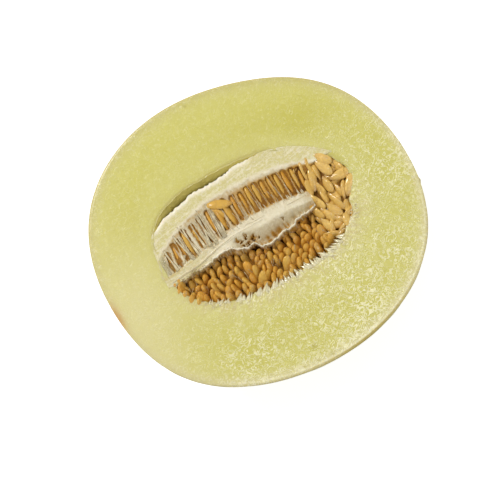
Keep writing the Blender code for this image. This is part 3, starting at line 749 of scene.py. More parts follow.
def unitSeed():
    # A plump almond along x, blunt end at +1, with a faint rim round its broad side
    sides, rings = seedShape["sides"], seedShape["rings"]
    points = []
    for ring in range(1, rings):
        t = -math.cos(math.pi * ring / rings)
        girth = math.sqrt(1.0 - t * t) * (1.0 + seedShape["taper"] * t)
        girth *= 1.0 - 0.10 * max(0.0, -t) ** 2.0
        for side in range(sides):
            broad, thick = math.cos(fullTurn * side / sides), math.sin(fullTurn * side / sides)
            groove = 1.0 - 0.10 * math.exp(-(((abs(broad) - 0.80) / 0.10) ** 2))
            broad = math.copysign(abs(broad) ** 0.92, broad)
            points.append((t, broad * girth, thick * girth * groove))
    faces = gridFaces(rings - 1, sides, closed=True)
    end, start = len(points), (rings - 2) * sides
    faces += [(end, (i + 1) % sides, i) for i in range(sides)]
    faces += [(end + 1, start + i, start + (i + 1) % sides) for i in range(sides)]
    return np.array(points + [(-1.0, 0.0, 0.0), (1.0, 0.0, 0.0)]), faces


seedPoints, seedFaces = unitSeed()


def placeSeeds(seeds, draw):
    # Each seed is along, across, depth, heading, dip, roll, length, width and thickness
    shape, t = seedShape, seedPoints[:, 0]
    points, faces, tone, end = [], [], [], []
    for along, across, depth, heading, dip, roll, *size in seeds:
        turned = (
            Matrix.Rotation(math.radians(heading), 3, "Z")
            @ Matrix.Rotation(math.radians(-dip), 3, "Y")
            @ Matrix.Rotation(math.radians(roll), 3, "X")
        )
        seed = seedPoints * np.array(size) / 2.0
        bow = draw.uniform(-shape["bow"], shape["bow"])
        seed[:, 1] *= 1.0 + shape["wave"] * np.sin(3.2 * t + draw.uniform(0.0, 6.3))
        seed[:, 2] *= 1.0 - draw.uniform(0.0, shape["dent"]) * hump(t, draw.uniform(-0.6, 0.6), 0.35)
        seed[:, 1] += bow * (1.0 - t ** 2)
        seed[:, 2] += draw.uniform(-shape["cup"], shape["cup"]) * (t ** 2 - 0.5)
        seed = seed @ np.array(turned).T + (along, across, cutLevel - depth)
        seed[:, 2] -= max(seed[:, 2].max() - cadBox[1][2] / mm + 0.01, 0.0)  # stays in the solids' box
        start = len(points) * len(seed)
        points.append(seed)
        faces += [tuple(start + i for i in face) for face in seedFaces]
        tone.append(np.full(len(seed), draw.random()))
        end.append(t)
    return np.concatenate(points), faces, np.concatenate(tone), np.concatenate(end)


def seedBed(bed, middleAt, halfWidthAt):
    # A lumpy bed along a curved middle line, under a bunch of seeds
    (start, end), (shallow, deep) = bed["ends"], bed["depths"]
    rings, sides = bed["rings"], bed["sides"]
    points = []
    for ring in range(1, rings):
        t = -math.cos(math.pi * ring / rings)
        out = math.sqrt(1.0 - t * t)
        along = start + (end - start) * (t + 1.0) / 2.0
        for side in range(sides):
            angle = fullTurn * side / sides
            broad, up = (math.copysign(abs(part) ** bed["boxy"], part) * out ** bed["blunt"]
                         for part in (math.cos(angle), math.sin(angle)))
            across = middleAt(along) + halfWidthAt(along) * broad
            points.append((along, across, cutLevel - (shallow + deep) / 2.0 + (deep - shallow) / 2.0 * up))
    points = np.array(points)
    points[:, 2] += (softNoise(points[:, 0], points[:, 1], 1.6, bed["seed"]) - 0.7) * 1.4
    faces = gridFaces(rings - 1, sides, closed=True)
    faces.append(tuple(range(sides)))
    faces.append(tuple(reversed(range((rings - 2) * sides, (rings - 1) * sides))))
    return points, faces


def seedBunch(name, seeds, bed, seed, materials, node):
    points, faces, tone, end = placeSeeds(seeds, random.Random(seed))
    bedPoints, bedFaces = bed
    kinds = [0] * len(faces) + [1] * len(bedFaces)
    faces += [tuple(len(points) + i for i in face) for face in bedFaces]
    plain = np.zeros(len(bedPoints))
    attributes = {"seedTone": np.concatenate([tone, plain]), "seedEnd": np.concatenate([end, plain])}
    piece = buildMesh(name, np.concatenate([points, bedPoints]), faces, materials, kinds, attributes)
    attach(piece, "root")
    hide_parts(node)
    print(name, "ready:", len(faces), "faces")


upperRow = {
    # along, lean, roll and share of a full length
    "seeds": (
        (-42.6, -8.0, 82.0, 0.72), (-38.4, -6.0, 76.0, 0.88), (-34.6, 1.0, 84.0, 0.80),
        (-30.9, 3.0, 62.0, 1.08), (-26.0, 5.0, 80.0, 0.92), (-21.4, 5.0, 78.0, 0.95),
        (-16.6, 4.0, 64.0, 1.05), (-12.4, 3.0, 74.0, 0.95), (-7.8, 4.0, 55.0, 1.02),
        (-3.6, 2.0, 76.0, 0.92), (0.4, 1.0, 80.0, 0.80), (4.2, 0.0, 66.0, 0.98),
        (7.9, 0.0, 60.0, 0.90), (11.6, 2.0, 74.0, 0.88), (15.2, 3.0, 80.0, 0.92),
        (18.7, 1.0, 70.0, 1.00), (22.5, 1.0, 66.0, 1.02), (26.3, 0.0, 74.0, 0.98),
        (28.9, -4.0, 84.0, 0.86),
    ),
    "depth": 2.8,
    "lift": 1.2,  # of those near the slipped seed
    "thickness": 2.1,
    "longer": 1.1,
    "stagger": 1.1,
    # along, share and depth of thinner seeds wedged between the others
    "slivers": ((-32.7, 0.9, 3.9), (-24.0, 0.8, 4.2), (-5.7, 0.9, 4.0), (2.2, 0.9, 3.8), (6.0, 0.9, 3.6),
                (9.7, 0.8, 3.9), (13.4, 0.9, 3.6), (17.0, 0.9, 3.8), (20.6, 0.9, 3.6), (24.5, 0.9, 3.7)),
    "sunkSeeds": (0, 1, 2, 4, 5),  # behind the film at the tail end
    "sunkBy": 0.7,
    # along, across, depth, heading, dip, roll, share of a length and thickness
    "loose": ((-13.8, 16.6, 1.7, -56.0, 0.0, 34.0, 0.9, 2.0), (-9.9, 18.3, 0.5, 158.0, 0.0, 12.0, 1.04, 2.4)),
    "bed": {"ends": (-42.6, 30.0), "depths": (4.2, 6.8), "blunt": 0.6, "boxy": 1.0, "sides": 16, "rings": 60,
            "seed": 71, "halfWidth": 3.2},
}


def upperSeedList():
    row, length, width = upperRow, seedShape["length"], seedShape["width"]
    found = []
    for number, (along, lean, roll, share) in enumerate(row["seeds"]):
        depth = row["depth"] - row["lift"] * hump(along, row["loose"][1][0], 4.0)
        depth += row["sunkBy"] * (number in row["sunkSeeds"])
        across = upperMiddle(along) + row["stagger"] * math.sin(along * 1.7) * (along > -14.0)
        found.append((along, across, depth, 90.0 + lean, 0.0, roll, length * share * row["longer"], width,
                      row["thickness"]))
    for number, (along, share, depth) in enumerate(row["slivers"]):
        across, roll = upperMiddle(along) + (-1) ** number * 0.8, 82.0 - 3.0 * (number % 3)
        found.append((along, across, depth, 93.0, 0.0, roll, length * share, width * 0.9, 1.5))
    for *place, share, thickness in row["loose"]:
        found.append((*place, length * share, width, thickness))
    return found


lowerBank = {
    "ends": (-40.6, 26.4),
    "pitch": 3.48,
    "rowLoose": 3.5,
    "rowCrowded": 2.8,
    "crowdedFrom": -14.0,
    "lean": 0.3,
    "underEdge": 5.1,
    "overMargin": 1.8,
    "depth": 8.0,
    "rise": 1.6,
    "looseness": (0.4, 0.4, 0.6, 22.0, 12.0, 34.0),  # along, across, depth, heading, dip and roll
    "broadRoom": 3.0,
    "broadDepth": 5.3,
    "broadDip": 30.0,
    # More at the tail end: along and across
    "atTail": ((-43.9, -8.9), (-45.4, -7.4), (-42.8, -6.4), (-44.8, -10.4), (-43.4, -13.0), (-41.6, -16.2),
               (-39.0, -18.8)),
    # along, across, heading and roll of the seeds that show their broad side
    "broad": ((-12.0, -15.6, 96.0, 8.0), (-9.4, -22.6, 58.0, 14.0), (3.8, -22.0, 66.0, 22.0),
              (26.0, -16.8, 100.0, 16.0)),
    "bed": {"ends": (-44.0, 29.0), "depths": (6.3, 13.8), "blunt": 0.32, "boxy": 0.62, "sides": 40, "rings": 70,
            "seed": 72},
}


def bankSeedList():
    bank, length, width, thickness = lowerBank, seedShape["length"], seedShape["width"], seedShape["bankThickness"]
    draw, extra = random.Random(5), random.Random(6)
    first, last = bank["ends"]
    columns = int((last - first) / bank["pitch"]) + 1
    found = []
    for column in range(columns):
        start = first + column * bank["pitch"]
        upper = bankEdge(start) - bank["underEdge"]
        lower = bankMargin(start) + bank["overMargin"]
        rowPitch = bank["rowLoose"] if start < bank["crowdedFrom"] else bank["rowCrowded"]
        rows = max(1 + round((upper - lower) / rowPitch), 2)
        for row in range(rows):
            share = row / (rows - 1)
            pose = (start + bank["lean"] * (share - 0.5) * (upper - lower), upper + (lower - upper) * share,
                    bank["depth"] - bank["rise"] * share, 100.0, 54.0, 56.0)
            pose = [value + draw.uniform(-loose, loose) for value, loose in zip(pose, bank["looseness"])]
            if all(math.hypot(pose[0] - at[0], pose[1] - at[1]) >= bank["broadRoom"] for at in bank["broad"]):
                longer = 0.92 + 0.03 * ((column * 7 + row * 3) % 5)
                found.append((*pose, length * longer, width, thickness))
    for along, across, heading, roll in bank["broad"]:
        found.append((along, across, bank["broadDepth"], heading, bank["broadDip"], roll, length, width, thickness))
    for along, across in bank["atTail"]:
        found.append((along, across, 2.9, 88.0, 34.0, 50.0, length * 0.75, width * 0.9, 2.2))
    # Two more rows, one set back under the torn edge of the flesh and one under the edge of the pulp
    for column in range(columns):
        along = first + (column + 0.5) * bank["pitch"] + extra.uniform(-0.5, 0.5)
        for across, depth in ((bankMargin(along) + extra.uniform(-1.6, 0.2), 6.2), (bankEdge(along) - 2.4, 8.6)):
            found.append((along, across, depth + extra.uniform(-0.5, 0.5), 100.0 + extra.uniform(-20.0, 20.0),
                          50.0 + extra.uniform(-10.0, 8.0), 50.0 + extra.uniform(-34.0, 26.0), length * 0.95, width,
                          thickness))
    return found


heapSettings = {
    # along, across, depth, heading, dip, roll, length and width
    "seeds": (
        (41.3, 14.3, 0.6, -48.0, 2.0, 12.0, 9.8, 4.7), (39.7, 10.6, 1.5, -65.0, 0.0, 18.0, 11.2, 4.5),
        (45.4, 9.2, 2.4, -75.0, 4.0, 30.0, 7.4, 4.2), (44.9, 3.8, 1.2, -2.0, -4.0, 8.0, 10.0, 4.7),
        (47.0, -2.5, 1.5, 50.0, 0.0, 22.0, 11.4, 4.6), (38.0, 2.6, 2.0, -85.0, 0.0, 34.0, 9.0, 4.2),
        (41.1, -1.6, 2.8, -80.0, 0.0, 56.0, 8.4, 4.0), (43.4, -3.2, 2.2, 66.0, 0.0, 58.0, 9.6, 4.0),
        (37.9, -6.0, 1.8, -72.0, 2.0, 52.0, 11.4, 4.2), (35.2, -9.0, 1.9, -62.0, 0.0, 14.0, 9.8, 4.4),
        (33.2, 8.0, 2.0, 72.0, 0.0, 26.0, 12.0, 4.5), (36.4, 10.2, 3.0, 88.0, 0.0, 68.0, 9.6, 4.2),
        (31.4, -9.4, 2.8, -64.0, 0.0, 32.0, 9.0, 4.3), (34.2, -1.8, 3.2, 84.0, 0.0, 40.0, 8.6, 4.2),
        (39.7, -14.0, 2.6, 30.0, 0.0, 46.0, 9.2, 3.8), (33.0, -15.6, 3.8, -14.0, 0.0, 30.0, 8.4, 4.4),
        (36.0, -18.2, 2.8, 13.0, 0.0, 62.0, 9.0, 3.6), (33.6, -20.1, 3.4, 13.0, 0.0, 60.0, 8.4, 3.6),
    ),
    # the same and thickness, over the end of the strip and of the row
    "overStrip": (
        (33.6, 3.4, 3.0, -78.0, 0.0, 40.0, 9.6, 4.2, 2.3), (45.6, -7.0, 2.8, 70.0, 0.0, 45.0, 9.4, 4.2, 2.3),
        (31.2, 13.2, 1.6, 84.0, 0.0, 62.0, 10.6, 4.2, 2.2), (34.6, 14.2, 1.5, 80.0, 0.0, 52.0, 9.4, 4.2, 2.2),
        (29.6, 4.6, 1.6, 78.0, 0.0, 40.0, 9.6, 4.2, 2.3), (30.2, -2.4, 1.9, -70.0, 2.0, 44.0, 9.4, 4.2, 2.3),
        (28.2, 0.8, 2.2, -62.0, 8.0, 58.0, 8.6, 4.0, 2.2), (27.6, -6.2, 2.8, -66.0, 6.0, 50.0, 9.0, 4.2, 2.3),
    ),
    "tries": 150,  # places tried for the seeds that fill the gaps
    "room": 2.3,
    "rimRoom": 3.6,  # nearer the mouth than this they lie along it
    "fill": (9.2, 4.1, 2.2),
    "middle": -2.0,
    "bed": {"ends": (29.0, 50.8), "depths": (2.9, 8.6), "blunt": 0.6, "boxy": 0.6, "sides": 32, "rings": 30,
            "seed": 73, "halfWidth": 16.5},
}


def heapSeedList():
    # The heaped seeds, and others under them that fill the gaps
    heap, draw = heapSettings, random.Random(7)
    middleAlong, middleAcross = melonShape["cavityMiddle"]
    found = [(*seed, seedShape["thickness"]) for seed in heap["seeds"]] + list(heap["overStrip"])
    for number in range(heap["tries"]):
        along, across = draw.uniform(27.5, 50.5), draw.uniform(-22.0, 17.0)
        heading, roll, depth = draw.uniform(-100.0, 80.0), draw.uniform(10.0, 70.0), draw.uniform(3.0, 4.8)
        turn = math.atan2(across - middleAcross, along - middleAlong)
        inside = float(cavityRadius(np.array(turn))) - math.hypot(along - middleAlong, across - middleAcross)
        crowd = min(math.hypot(along - seed[0], across - seed[1]) for seed in found)
        if inside > 0.3 and crowd > heap["room"]:
            if inside < heap["rimRoom"]:
                heading, depth = math.degrees(turn) + draw.uniform(60.0, 120.0), draw.uniform(1.6, 2.8)
            found.append((along, across, depth, heading, draw.uniform(-8.0, 12.0), roll, *heap["fill"]))
    return found


seedColours = {
    "pale": tint(240, 200, 108),
    "light": tint(224, 180, 80),
    "golden": tint(221, 162, 56),
    "brown": tint(184, 122, 36),
    "tip": tint(146, 94, 34),
    # bed and bedLight colour the bed under the bank and the heap as painted shade between the seeds; rowFibres mixes
    # bedLight with rowLight
    "bed": tint(118, 78, 20),
    "bedLight": tint(156, 110, 42),
    "rowLight": tint(196, 154, 84),
    # deep is painted shade that darkens the seeds the deeper they lie
    "deep": tint(120, 74, 16),
    # film is the pale colour of the painted highlight specks on the seeds
    "film": tint(236, 218, 176),
    "paintedShadeFrom": 4.4,  # under the cut face, where they start to darken, and where they are darkest
    "paintedShadeTo": 8.6,
}


def seedMaterial(name, light, golden, coat, dull):
    material, tree = newMaterial(name)
    patches = cloudy(tree, 160.0, 700.0)
    base = mixColours(tree, readValue(tree, "seedTone"), seedColours[golden], seedColours[light])
    base = mixColours(tree, times(tree, patches, 0.35), base, seedColours["brown"])
    tip = spread(tree, readValue(tree, "seedEnd"), -0.45, -1.0, 0.0, 0.6)
    base = mixColours(tree, tip, base, seedColours["tip"])
    height = addNode(tree, "ShaderNodeSeparateXYZ", {"Vector": ownPlace(tree)}).outputs["Z"]
    first, last = ((cutLevel - seedColours[key]) * mm for key in ("paintedShadeFrom", "paintedShadeTo"))
    # Painted shade: seeds darken the deeper they lie under the cut face
    base = mixColours(tree, spread(tree, height, first, last, 0.0, 0.35), base, seedColours["deep"])
    ridges, height = moist(tree, 800.0, 0.4, 0.8)
    # Painted highlight specks on the seeds along the wet ridges
    paintedSpecks = times(tree, ridges, spread(tree, patches, 0.5, 0.8, 0.0, 0.5))
    return finishMaterial(material, {
        "Base Color": mixColours(tree, paintedSpecks, base, seedColours["film"]), "IOR": 1.4,
        "Roughness": spread(tree, patches, 0.0, 1.0, dull, dull + 0.2), "Coat Weight": coat, "Coat Roughness": 0.08,
    }, (0.6, 0.0003, height))


def bedMaterial(name, dark, light):
    material, tree = newMaterial(name)
    base = mixColours(tree, cloudy(tree, 250.0, 800.0), seedColours[dark], seedColours[light])
    return finishMaterial(material, {"Base Color": base, "Roughness": 0.5, "Specular IOR Level": 0.1})


goldenSeed = seedMaterial("goldenSeed", "light", "golden", 0.25, 0.32)
paleSeed = seedMaterial("paleSeed", "pale", "light", 1.0, 0.24)
# Dark bed under the seeds of the bank and the heap: painted shade in the gaps between them
paintedShadeBed = bedMaterial("seedBed", "bed", "bedLight")
rowFibres = bedMaterial("rowFibres", "bedLight", "rowLight")

rowBed = seedBed(upperRow["bed"], upperMiddle, lambda along: upperRow["bed"]["halfWidth"])
seedBunch("upperSeeds", upperSeedList(), rowBed, 31, [goldenSeed, rowFibres], "seeds_upper_row")
bankBed = seedBed(lowerBank["bed"], lambda along: (bankEdge(along) + bankMargin(along)) / 2.0 - 1.2,
                  lambda along: (bankEdge(along) - bankMargin(along)) / 2.0)
seedBunch("bankSeeds", bankSeedList(), bankBed, 32, [goldenSeed, paintedShadeBed], "seeds_lower_bank")
heapBed = seedBed(heapSettings["bed"], lambda along: heapSettings["middle"],
                  lambda along: heapSettings["bed"]["halfWidth"])
seedBunch("heapSeeds", heapSeedList(), heapBed, 33, [paleSeed, paintedShadeBed], "seeds_end_cluster")


# Pulp

pulpSettings = {
    "columns": 400,
    "rows": 220,
    "underRows": 16,
    "depth": 28.5,
    "overlap": 1.2,  # how far its edge laps over the mouth where it hasn't come away
    "tailLap": 2.0,
    "slotRoom": 0.15,  # open on each side of a seed
    "slotDeep": 2.3,
    "slotLonger": 1.0,
    "sag": 0.65,
    "bedDeep": 8.4,
    "heapRaise": 3.6,
    # waves of its upper edge and of the torn edge: cell, height and seed
    "edgeWaves": ((2.6, 0.9, 91), (0.8, 0.6, 92)),
    "tornWaves": ((1.6, 1.2, 85), (0.5, 0.5, 86)),
    # Lower edge of the strip and the torn edge of the hollow, along and across
    "tornEdge": (
        (-46, -4.6), (-35, -3.8), (-29, -3.4), (-24, -2.7), (-18, -2.2), (-14, -2.8), (-10.5, -4.6), (-8.3, -5.5),
        (-3.5, -5.6), (-1.9, -8.4), (1.7, -8.8), (6.5, -8.6), (10, -7.4), (15, -6.3), (19, -4.9), (23, -4.7),
        (30, -2.8),
    ),
    # Upper edge of the hollow, and the vein along the strip
    "hollowTop": ((-14, 1.6), (-8, 2.0), (2, 0.8), (10, 1.1), (17, 1.2), (27, -0.4), (30, -1.2)),
    "vein": ((-46, -3.4), (-31, -2.0), (-20, 0.8), (-11, 2.4), (0, 2.6), (8, 2.2)),
    "hollowDeep": 5.2,
    # along, across and radius of the small holes in the membrane
    "holes": ((-11.2, -0.4, 0.6), (-9.2, -1.0, 0.5), (-6.8, -0.2, 0.5), (-3.2, -1.8, 0.8), (-6.8, -4.2, 0.9),
              (-4.4, -3.4, 0.6), (-1.6, -3.6, 0.5), (-9.8, -3.6, 0.5), (12.5, -1.6, 0.5)),
    "holeDeep": 2.2,
}


def lineAt(name, along):
    points = pulpSettings[name]
    return np.interp(along, [point[0] for point in points], [point[1] for point in points])


def pulpOutline(along):
    # Lower and upper edge of the pulp at each place along it, and its two ends
    turn = np.linspace(0.0, fullTurn, 2881)
    gap = crescentGap(turn)
    lap = pulpSettings["overlap"] + pulpSettings["tailLap"] * hump(np.degrees(turn), 186.0, 8.0)
    radius = cavityRadius(turn) + lap * (1.0 - ease(0.35, 1.35, gap)) - gap
    x, y = cavityMiddle[0] + radius * np.cos(turn), cavityMiddle[1] + radius * np.sin(turn)
    edges = []
    for half in (turn >= np.pi, turn <= np.pi):
        order = np.argsort(x[half])
        edges.append(np.interp(along, x[half][order], y[half][order]))
    return (*edges, x.min(), x.max())


def halfReach(roll):
    turned = math.radians(roll)
    return math.hypot(seedShape["width"] / 2.0 * math.cos(turned), seedShape["thickness"] / 2.0 * math.sin(turned))


def slotMask(u, v):
    # 1 inside the open slot round each seed of the upper row, and 1 where film covers the slot
    mask, covered = np.zeros_like(u), np.zeros_like(u)
    for number, (along, lean, roll, share) in enumerate(upperRow["seeds"]):
        middle, tilt = upperMiddle(along), math.radians(lean)
        lengthwise = (v - middle) * math.cos(tilt) - (u - along) * math.sin(tilt)
        sideways = (u - along) * math.cos(tilt) + (v - middle) * math.sin(tilt)
        width = halfReach(roll) + pulpSettings["slotRoom"]
        half = seedShape["length"] * share / 2.0 + pulpSettings["slotLonger"] - width
        away = np.hypot(sideways, np.maximum(np.abs(lengthwise) - half, 0.0))
        slot = 1.0 - ease(width - 0.35, width + 0.25, away)
        mask = np.maximum(mask, slot)
        if number in upperRow["sunkSeeds"]:
            covered = np.maximum(covered, slot)
    return mask, covered


def tornLine(u):
    return lineAt("tornEdge", u) + ripples(u, u * 0.0, pulpSettings["tornWaves"])


def heapPocket(u, v, wave):
    # 1 in the pocket that holds the heap
    first, last = rowLines["pocketEnds"]
    share = np.clip((2.0 * u - first - last) / (last - first), -1.0, 1.0)
    top = rowLines["pocketMiddle"] + rowLines["pocketHalfWidth"] * (1.0 - share ** 2) ** 0.2
    return ease(0.0, 3.6, u - first + 1.0 + wave * 5.0) * ease(0.0, 1.8, top + wave - v)


def pulpForm(u, v):
    # Depth under the cut face, and masks of what colours it
    s = pulpSettings
    wave, fine = softNoise(u, v, 1.7, 81) - 0.5, softNoise(u, v, 0.6, 82) - 0.5
    leaning = u + v * 0.15
    crossing = softNoise(leaning, v, (1.0, 8.0), 83) * 0.6 + softNoise(leaning, v, (0.45, 5.0), 88) * 0.4
    lengthwise = softNoise(u, v - u * 0.1, (6.0, 0.6), 84)
    # Band of the upper row, with its slots and the walls between them
    middle, half = upperMiddle(u), upperHalfWidth(u)
    top, low = middle + half + 0.5 + wave * 1.3, middle - half + 0.9 + wave
    band = ease(-0.5, 0.9, top - v) * ease(-0.5, 0.9, v - low)
    slots, covered = slotMask(u + 0.5 * fine, v + 0.8 * wave)
    tail = 1.0 - ease(-14.0, 6.0, u)
    reach = np.clip((v - middle) / np.maximum(half, 0.5), -1.0, 1.0)
    sag = s["sag"] * (0.35 + 0.65 * tail) * (1.0 - reach ** 2)
    depth = 0.30 + 0.06 * lengthwise + 0.25 * wave + band * (sag + 0.20 * (1.0 - crossing))
    depth = depth + (slots - 0.5 * covered) * s["slotDeep"] * (0.5 + 0.2 * tail)
    fuzz = hump(top - v, 0.4, 1.3) * ease(-47.0, -40.0, u)
    brush = hump(v - low, -0.6, 1.6) * (1.0 - crossing)
    inner = ease(1.0, 0.75, np.abs(reach)) * (1.0 - tail)
    stainAndShade = band * (0.14 + 0.08 * tail + 0.10 * (1.0 - crossing) + 0.30 * inner)
    # brown in the open slots beside the seeds is painted shade; a little more where film covers a slot
    stainAndShade = stainAndShade + (0.24 + 0.10 * tail) * slots + 0.1 * covered
    stainAndShade = stainAndShade + (0.06 + 0.14 * tail) * fuzz * (1.0 - crossing) + 0.18 * brush
    stainAndShade = stainAndShade + 0.25 * ease(22.0, 29.0, u) * ease(-0.5, 1.5, top - v)
    white = 0.4 * band * ease(0.66, 0.85, crossing) * tail
    white = white + 0.3 * ease(0.6, 0.9, softNoise(u, v, 0.9, 79)) * (1.0 - 0.9 * band)
    # Smooth strip, with its vein
    torn = tornLine(u)
    vein = hump(v - lineAt("vein", u), 0.0, 0.4) * (1.0 - ease(0.0, 8.0, u))
    depth = depth - 0.35 * vein
    strip = ease(-0.6, 0.8, low - v + 0.4)
    narrowing = 1.0 - ease(-34.0, -16.0, u)
    stainAndShade = stainAndShade + strip * (0.04 * lengthwise + 0.28 * narrowing * (1.1 - lengthwise)) - 0.25 * vein
    # Hollow under the strip, which ends in the thin torn edge
    here = ease(-15.0, -10.0, u) * (1.0 - ease(26.0, 30.0, u))
    hollowTop = lineAt("hollowTop", u)
    into = np.clip((hollowTop - v) / (hollowTop - torn), 0.0, 1.6)
    basin = ease(0.0, 0.85, into) * (1.0 - ease(0.84, 0.97, into))
    depth = depth + here * s["hollowDeep"] * basin * (0.45 + 0.55 * hump(u, 6.0, 13.0))
    # Darker streaks towards the deep lower part of the hollow: partly seeds seen through the membrane, partly painted
    # shade
    streaks = ease(0.35, 0.75, softNoise(u + 0.12 * v, v, (0.8, 5.0), 89))
    dark = ease(0.30, 0.80, into) * (1.0 - ease(0.92, 0.98, into)) * (0.3 + 0.7 * hump(u, 6.0, 9.0))
    stainAndShade = stainAndShade + here * (0.16 * ease(0.0, 0.2, into) * (into < 1.0) + 0.55 * dark * (0.2 + 0.8 * streaks))
    # Holes in the membrane, darkened as painted shade with seeds seen through
    for along, across, radius in s["holes"]:
        away = np.hypot(u - along + 1.8 * fine, 0.7 * (v - across) + 1.8 * wave) / radius
        hole = np.exp(-away ** 3) * (0.4 + 0.9 * crossing)
        depth = depth + s["holeDeep"] * hole
        stainAndShade = stainAndShade + 0.75 * hole
    edge = hump(torn - v, 0.05, 0.25 + 0.45 * lineNoise(u, 2.2, 76))
    edge = edge * ease(-36.0, -24.0, u) * (1.0 - ease(27.0, 30.0, u))
    white = np.maximum(white, edge * (0.55 + 0.45 * lineNoise(u, 1.8, 77)))
    depth = depth - 0.30 * edge
    stainAndShade = stainAndShade * (1.0 - 0.85 * edge)
    # Film that hangs from the edge over the first seeds, then the bed under the bank and the heap
    film = 0.3 + 2.6 * hump(u, -15.0, 6.0) + 1.0 * hump(u, 17.0, 8.0)
    film = film + 2.0 * (softNoise(u, v, (1.1, 2.2), 90) - 0.5)
    below = torn - v
    hanging = ease(0.2, 0.8, below)
    depth = depth + hanging * (0.3 + 0.85 * np.clip(below, 0.0, 4.0))
    stainAndShade = np.maximum(stainAndShade, hanging * (0.36 + 0.38 * (1.0 - crossing)))
    pocket = heapPocket(u, v, wave)
    bed = np.maximum(ease(0.0, 1.1, below - np.maximum(film, 0.3)), pocket)
    deep = s["bedDeep"] - s["heapRaise"] * pocket * (v > torn - 1.0)
    depth = depth * (1.0 - bed) + bed * (deep + 1.5 * softNoise(u, v, 1.8, 87))
    # the bed under the bank and the heap is stained dark as painted shade between the seeds
    stainAndShade = np.clip(stainAndShade * (1.0 - bed) + bed * (0.9 - 0.25 * pocket), 0.0, 1.0)
    cream = np.maximum(ease(0.3, 2.2, v - top), 0.6 * strip * narrowing) * (1.0 - bed)
    white = white + 0.35 * cream * ease(0.5, 0.85, softNoise(u + wave, v - 0.2 * u, (5.0, 0.45), 78))
    return depth, stainAndShade, np.clip(white * (1.0 - bed), 0.0, 1.0), cream


def pulpTop(along, low, high, left):
    # Points of the upper side, and the values that colour them
    s = pulpSettings
    share = np.linspace(0.0, 1.0, s["rows"])
    u = np.repeat(along[:, None], s["rows"], 1)
    v = low[:, None] + (high - low)[:, None] * share[None, :]
    depth, stainAndShade, white, cream = pulpForm(u, v)
    # Ragged and free where the pulp has come away, thin and level with the flesh where it hasn't
    fromEdge = high[:, None] - v
    free = ease(-45.0, -41.0, u) * (1.0 - ease(6.0, 16.0, u))
    tip = hump(u, left, 5.0)
    level = np.maximum(np.exp(-fromEdge / 2.0) * (1.0 - free), tip)
    depth = depth * (1.0 - level) - 0.08 * level + (0.4 + 0.1 * free) * np.exp(-fromEdge / (0.15 + 0.25 * free))
    white = np.maximum(white, 0.8 * hump(fromEdge, 0.7, 1.3) * free)
    cream = np.maximum(cream * ease(0.5, 2.5, fromEdge * free + 3.0 * (1.0 - free)), 0.8 * tip)
    return np.stack([u, v, cutLevel - depth], 2).reshape(-1, 3), {"stainAndShade": stainAndShade, "bright": white, "lip": cream}


def makePulp(material):
    s = pulpSettings
    columns, rows, under = s["columns"], s["rows"], s["underRows"]
    left, right = pulpOutline(np.zeros(1))[2:]
    share = np.linspace(0.0, 1.0, columns)
    rounded = (left + right) / 2.0 - (right - left) / 2.0 * np.cos(np.pi * share)  # columns closer at both ends
    along = rounded * 0.4 + (left + (right - left) * share) * 0.6
    low, high = pulpOutline(along)[:2]
    wavy = ripples(along, along * 0.0, s["edgeWaves"])
    high = np.maximum(high + wavy * ease(-42.0, -30.0, along) * (1.0 - ease(16.0, 28.0, along)), low + 0.02)
    top, values = pulpTop(along, low, high, left)
    faces = gridFaces(columns, rows)
    # Underside, a bowl that shares the edge of the top
    points, lower = [top], {}
    start = len(top)
    for column in range(columns):
        lower[column, 0], lower[column, under] = column * rows, column * rows + rows - 1
        for row in range(1, under):
            part = 0.5 - 0.5 * math.cos(math.pi * row / under)
            y = low[column] + (high[column] - low[column]) * part
            reach = 2.0 * math.sqrt(part * (1.0 - part))
            ends = 1.0 - ((along[column] - (left + right) / 2.0) / ((right - left) / 2.0)) ** 2
            z = cutLevel - 2.0 - (s["depth"] - 2.0) * reach * math.sqrt(max(ends, 0.0))
            z = min(z, cutLevel - s["bedDeep"] - 2.0) if 0.1 < part < 0.9 and ends > 0.1 else z
            lower[column, row] = start
            points.append(np.array([[along[column], y, z]]))
            start += 1
    faces += [(lower[column, row], lower[column, row + 1], lower[column + 1, row + 1], lower[column + 1, row])
              for column in range(columns - 1) for row in range(under)]
    points = np.concatenate(points)
    plain = np.zeros(len(points) - len(top))
    attributes = {label: np.concatenate([value.reshape(-1), plain]) for label, value in values.items()}
    piece = buildMesh("seedPulp", points, faces, [material], None, attributes)
    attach(piece, "root")
    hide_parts("seed_pulp")
    return piece


pulpColours = {
    # from clean to the darkest stain and painted shade
    "stops": (
        (0.0, tint(228, 217, 186)),
        (0.25, tint(204, 188, 150)),
        (0.5, tint(186, 142, 66)),
        (0.78, tint(138, 92, 26)),
        (1.0, tint(94, 58, 12)),
    ),
    "white": tint(242, 234, 210),
    "lip": tint(207, 196, 130),
}


def pulpMaterial():
    material, tree = newMaterial("pulpFibres")
    stainAndShade = readValue(tree, "stainAndShade")
    varied = plus(tree, stainAndShade, times(tree, less(tree, cloudy(tree, 120.0, 700.0), 0.5), 0.16))
    base = overlay(tree, colourStops(tree, varied, pulpColours["stops"]), "lip", 0.9, pulpColours["lip"])
    ridges, height = moist(tree, 620.0, 0.7, 0.7)
    flecks = times(tree, ridges, spread(tree, stainAndShade, 0.5, 0.1, 0.0, 0.45))
    base = mixColours(tree, flecks, base, pulpColours["white"])
    base = overlay(tree, base, "bright", 1.0, pulpColours["white"])
    return finishMaterial(material, {
        "Base Color": base, "Roughness": 0.4, "Specular IOR Level": 0.1, "Coat Roughness": 0.2,
        "Coat Weight": spread(tree, stainAndShade, 0.3, 0.7, 0.3, 0.0),
    }, (0.35, 0.0004, height), (0.3, (1.0, 0.85, 0.6), 0.0006))


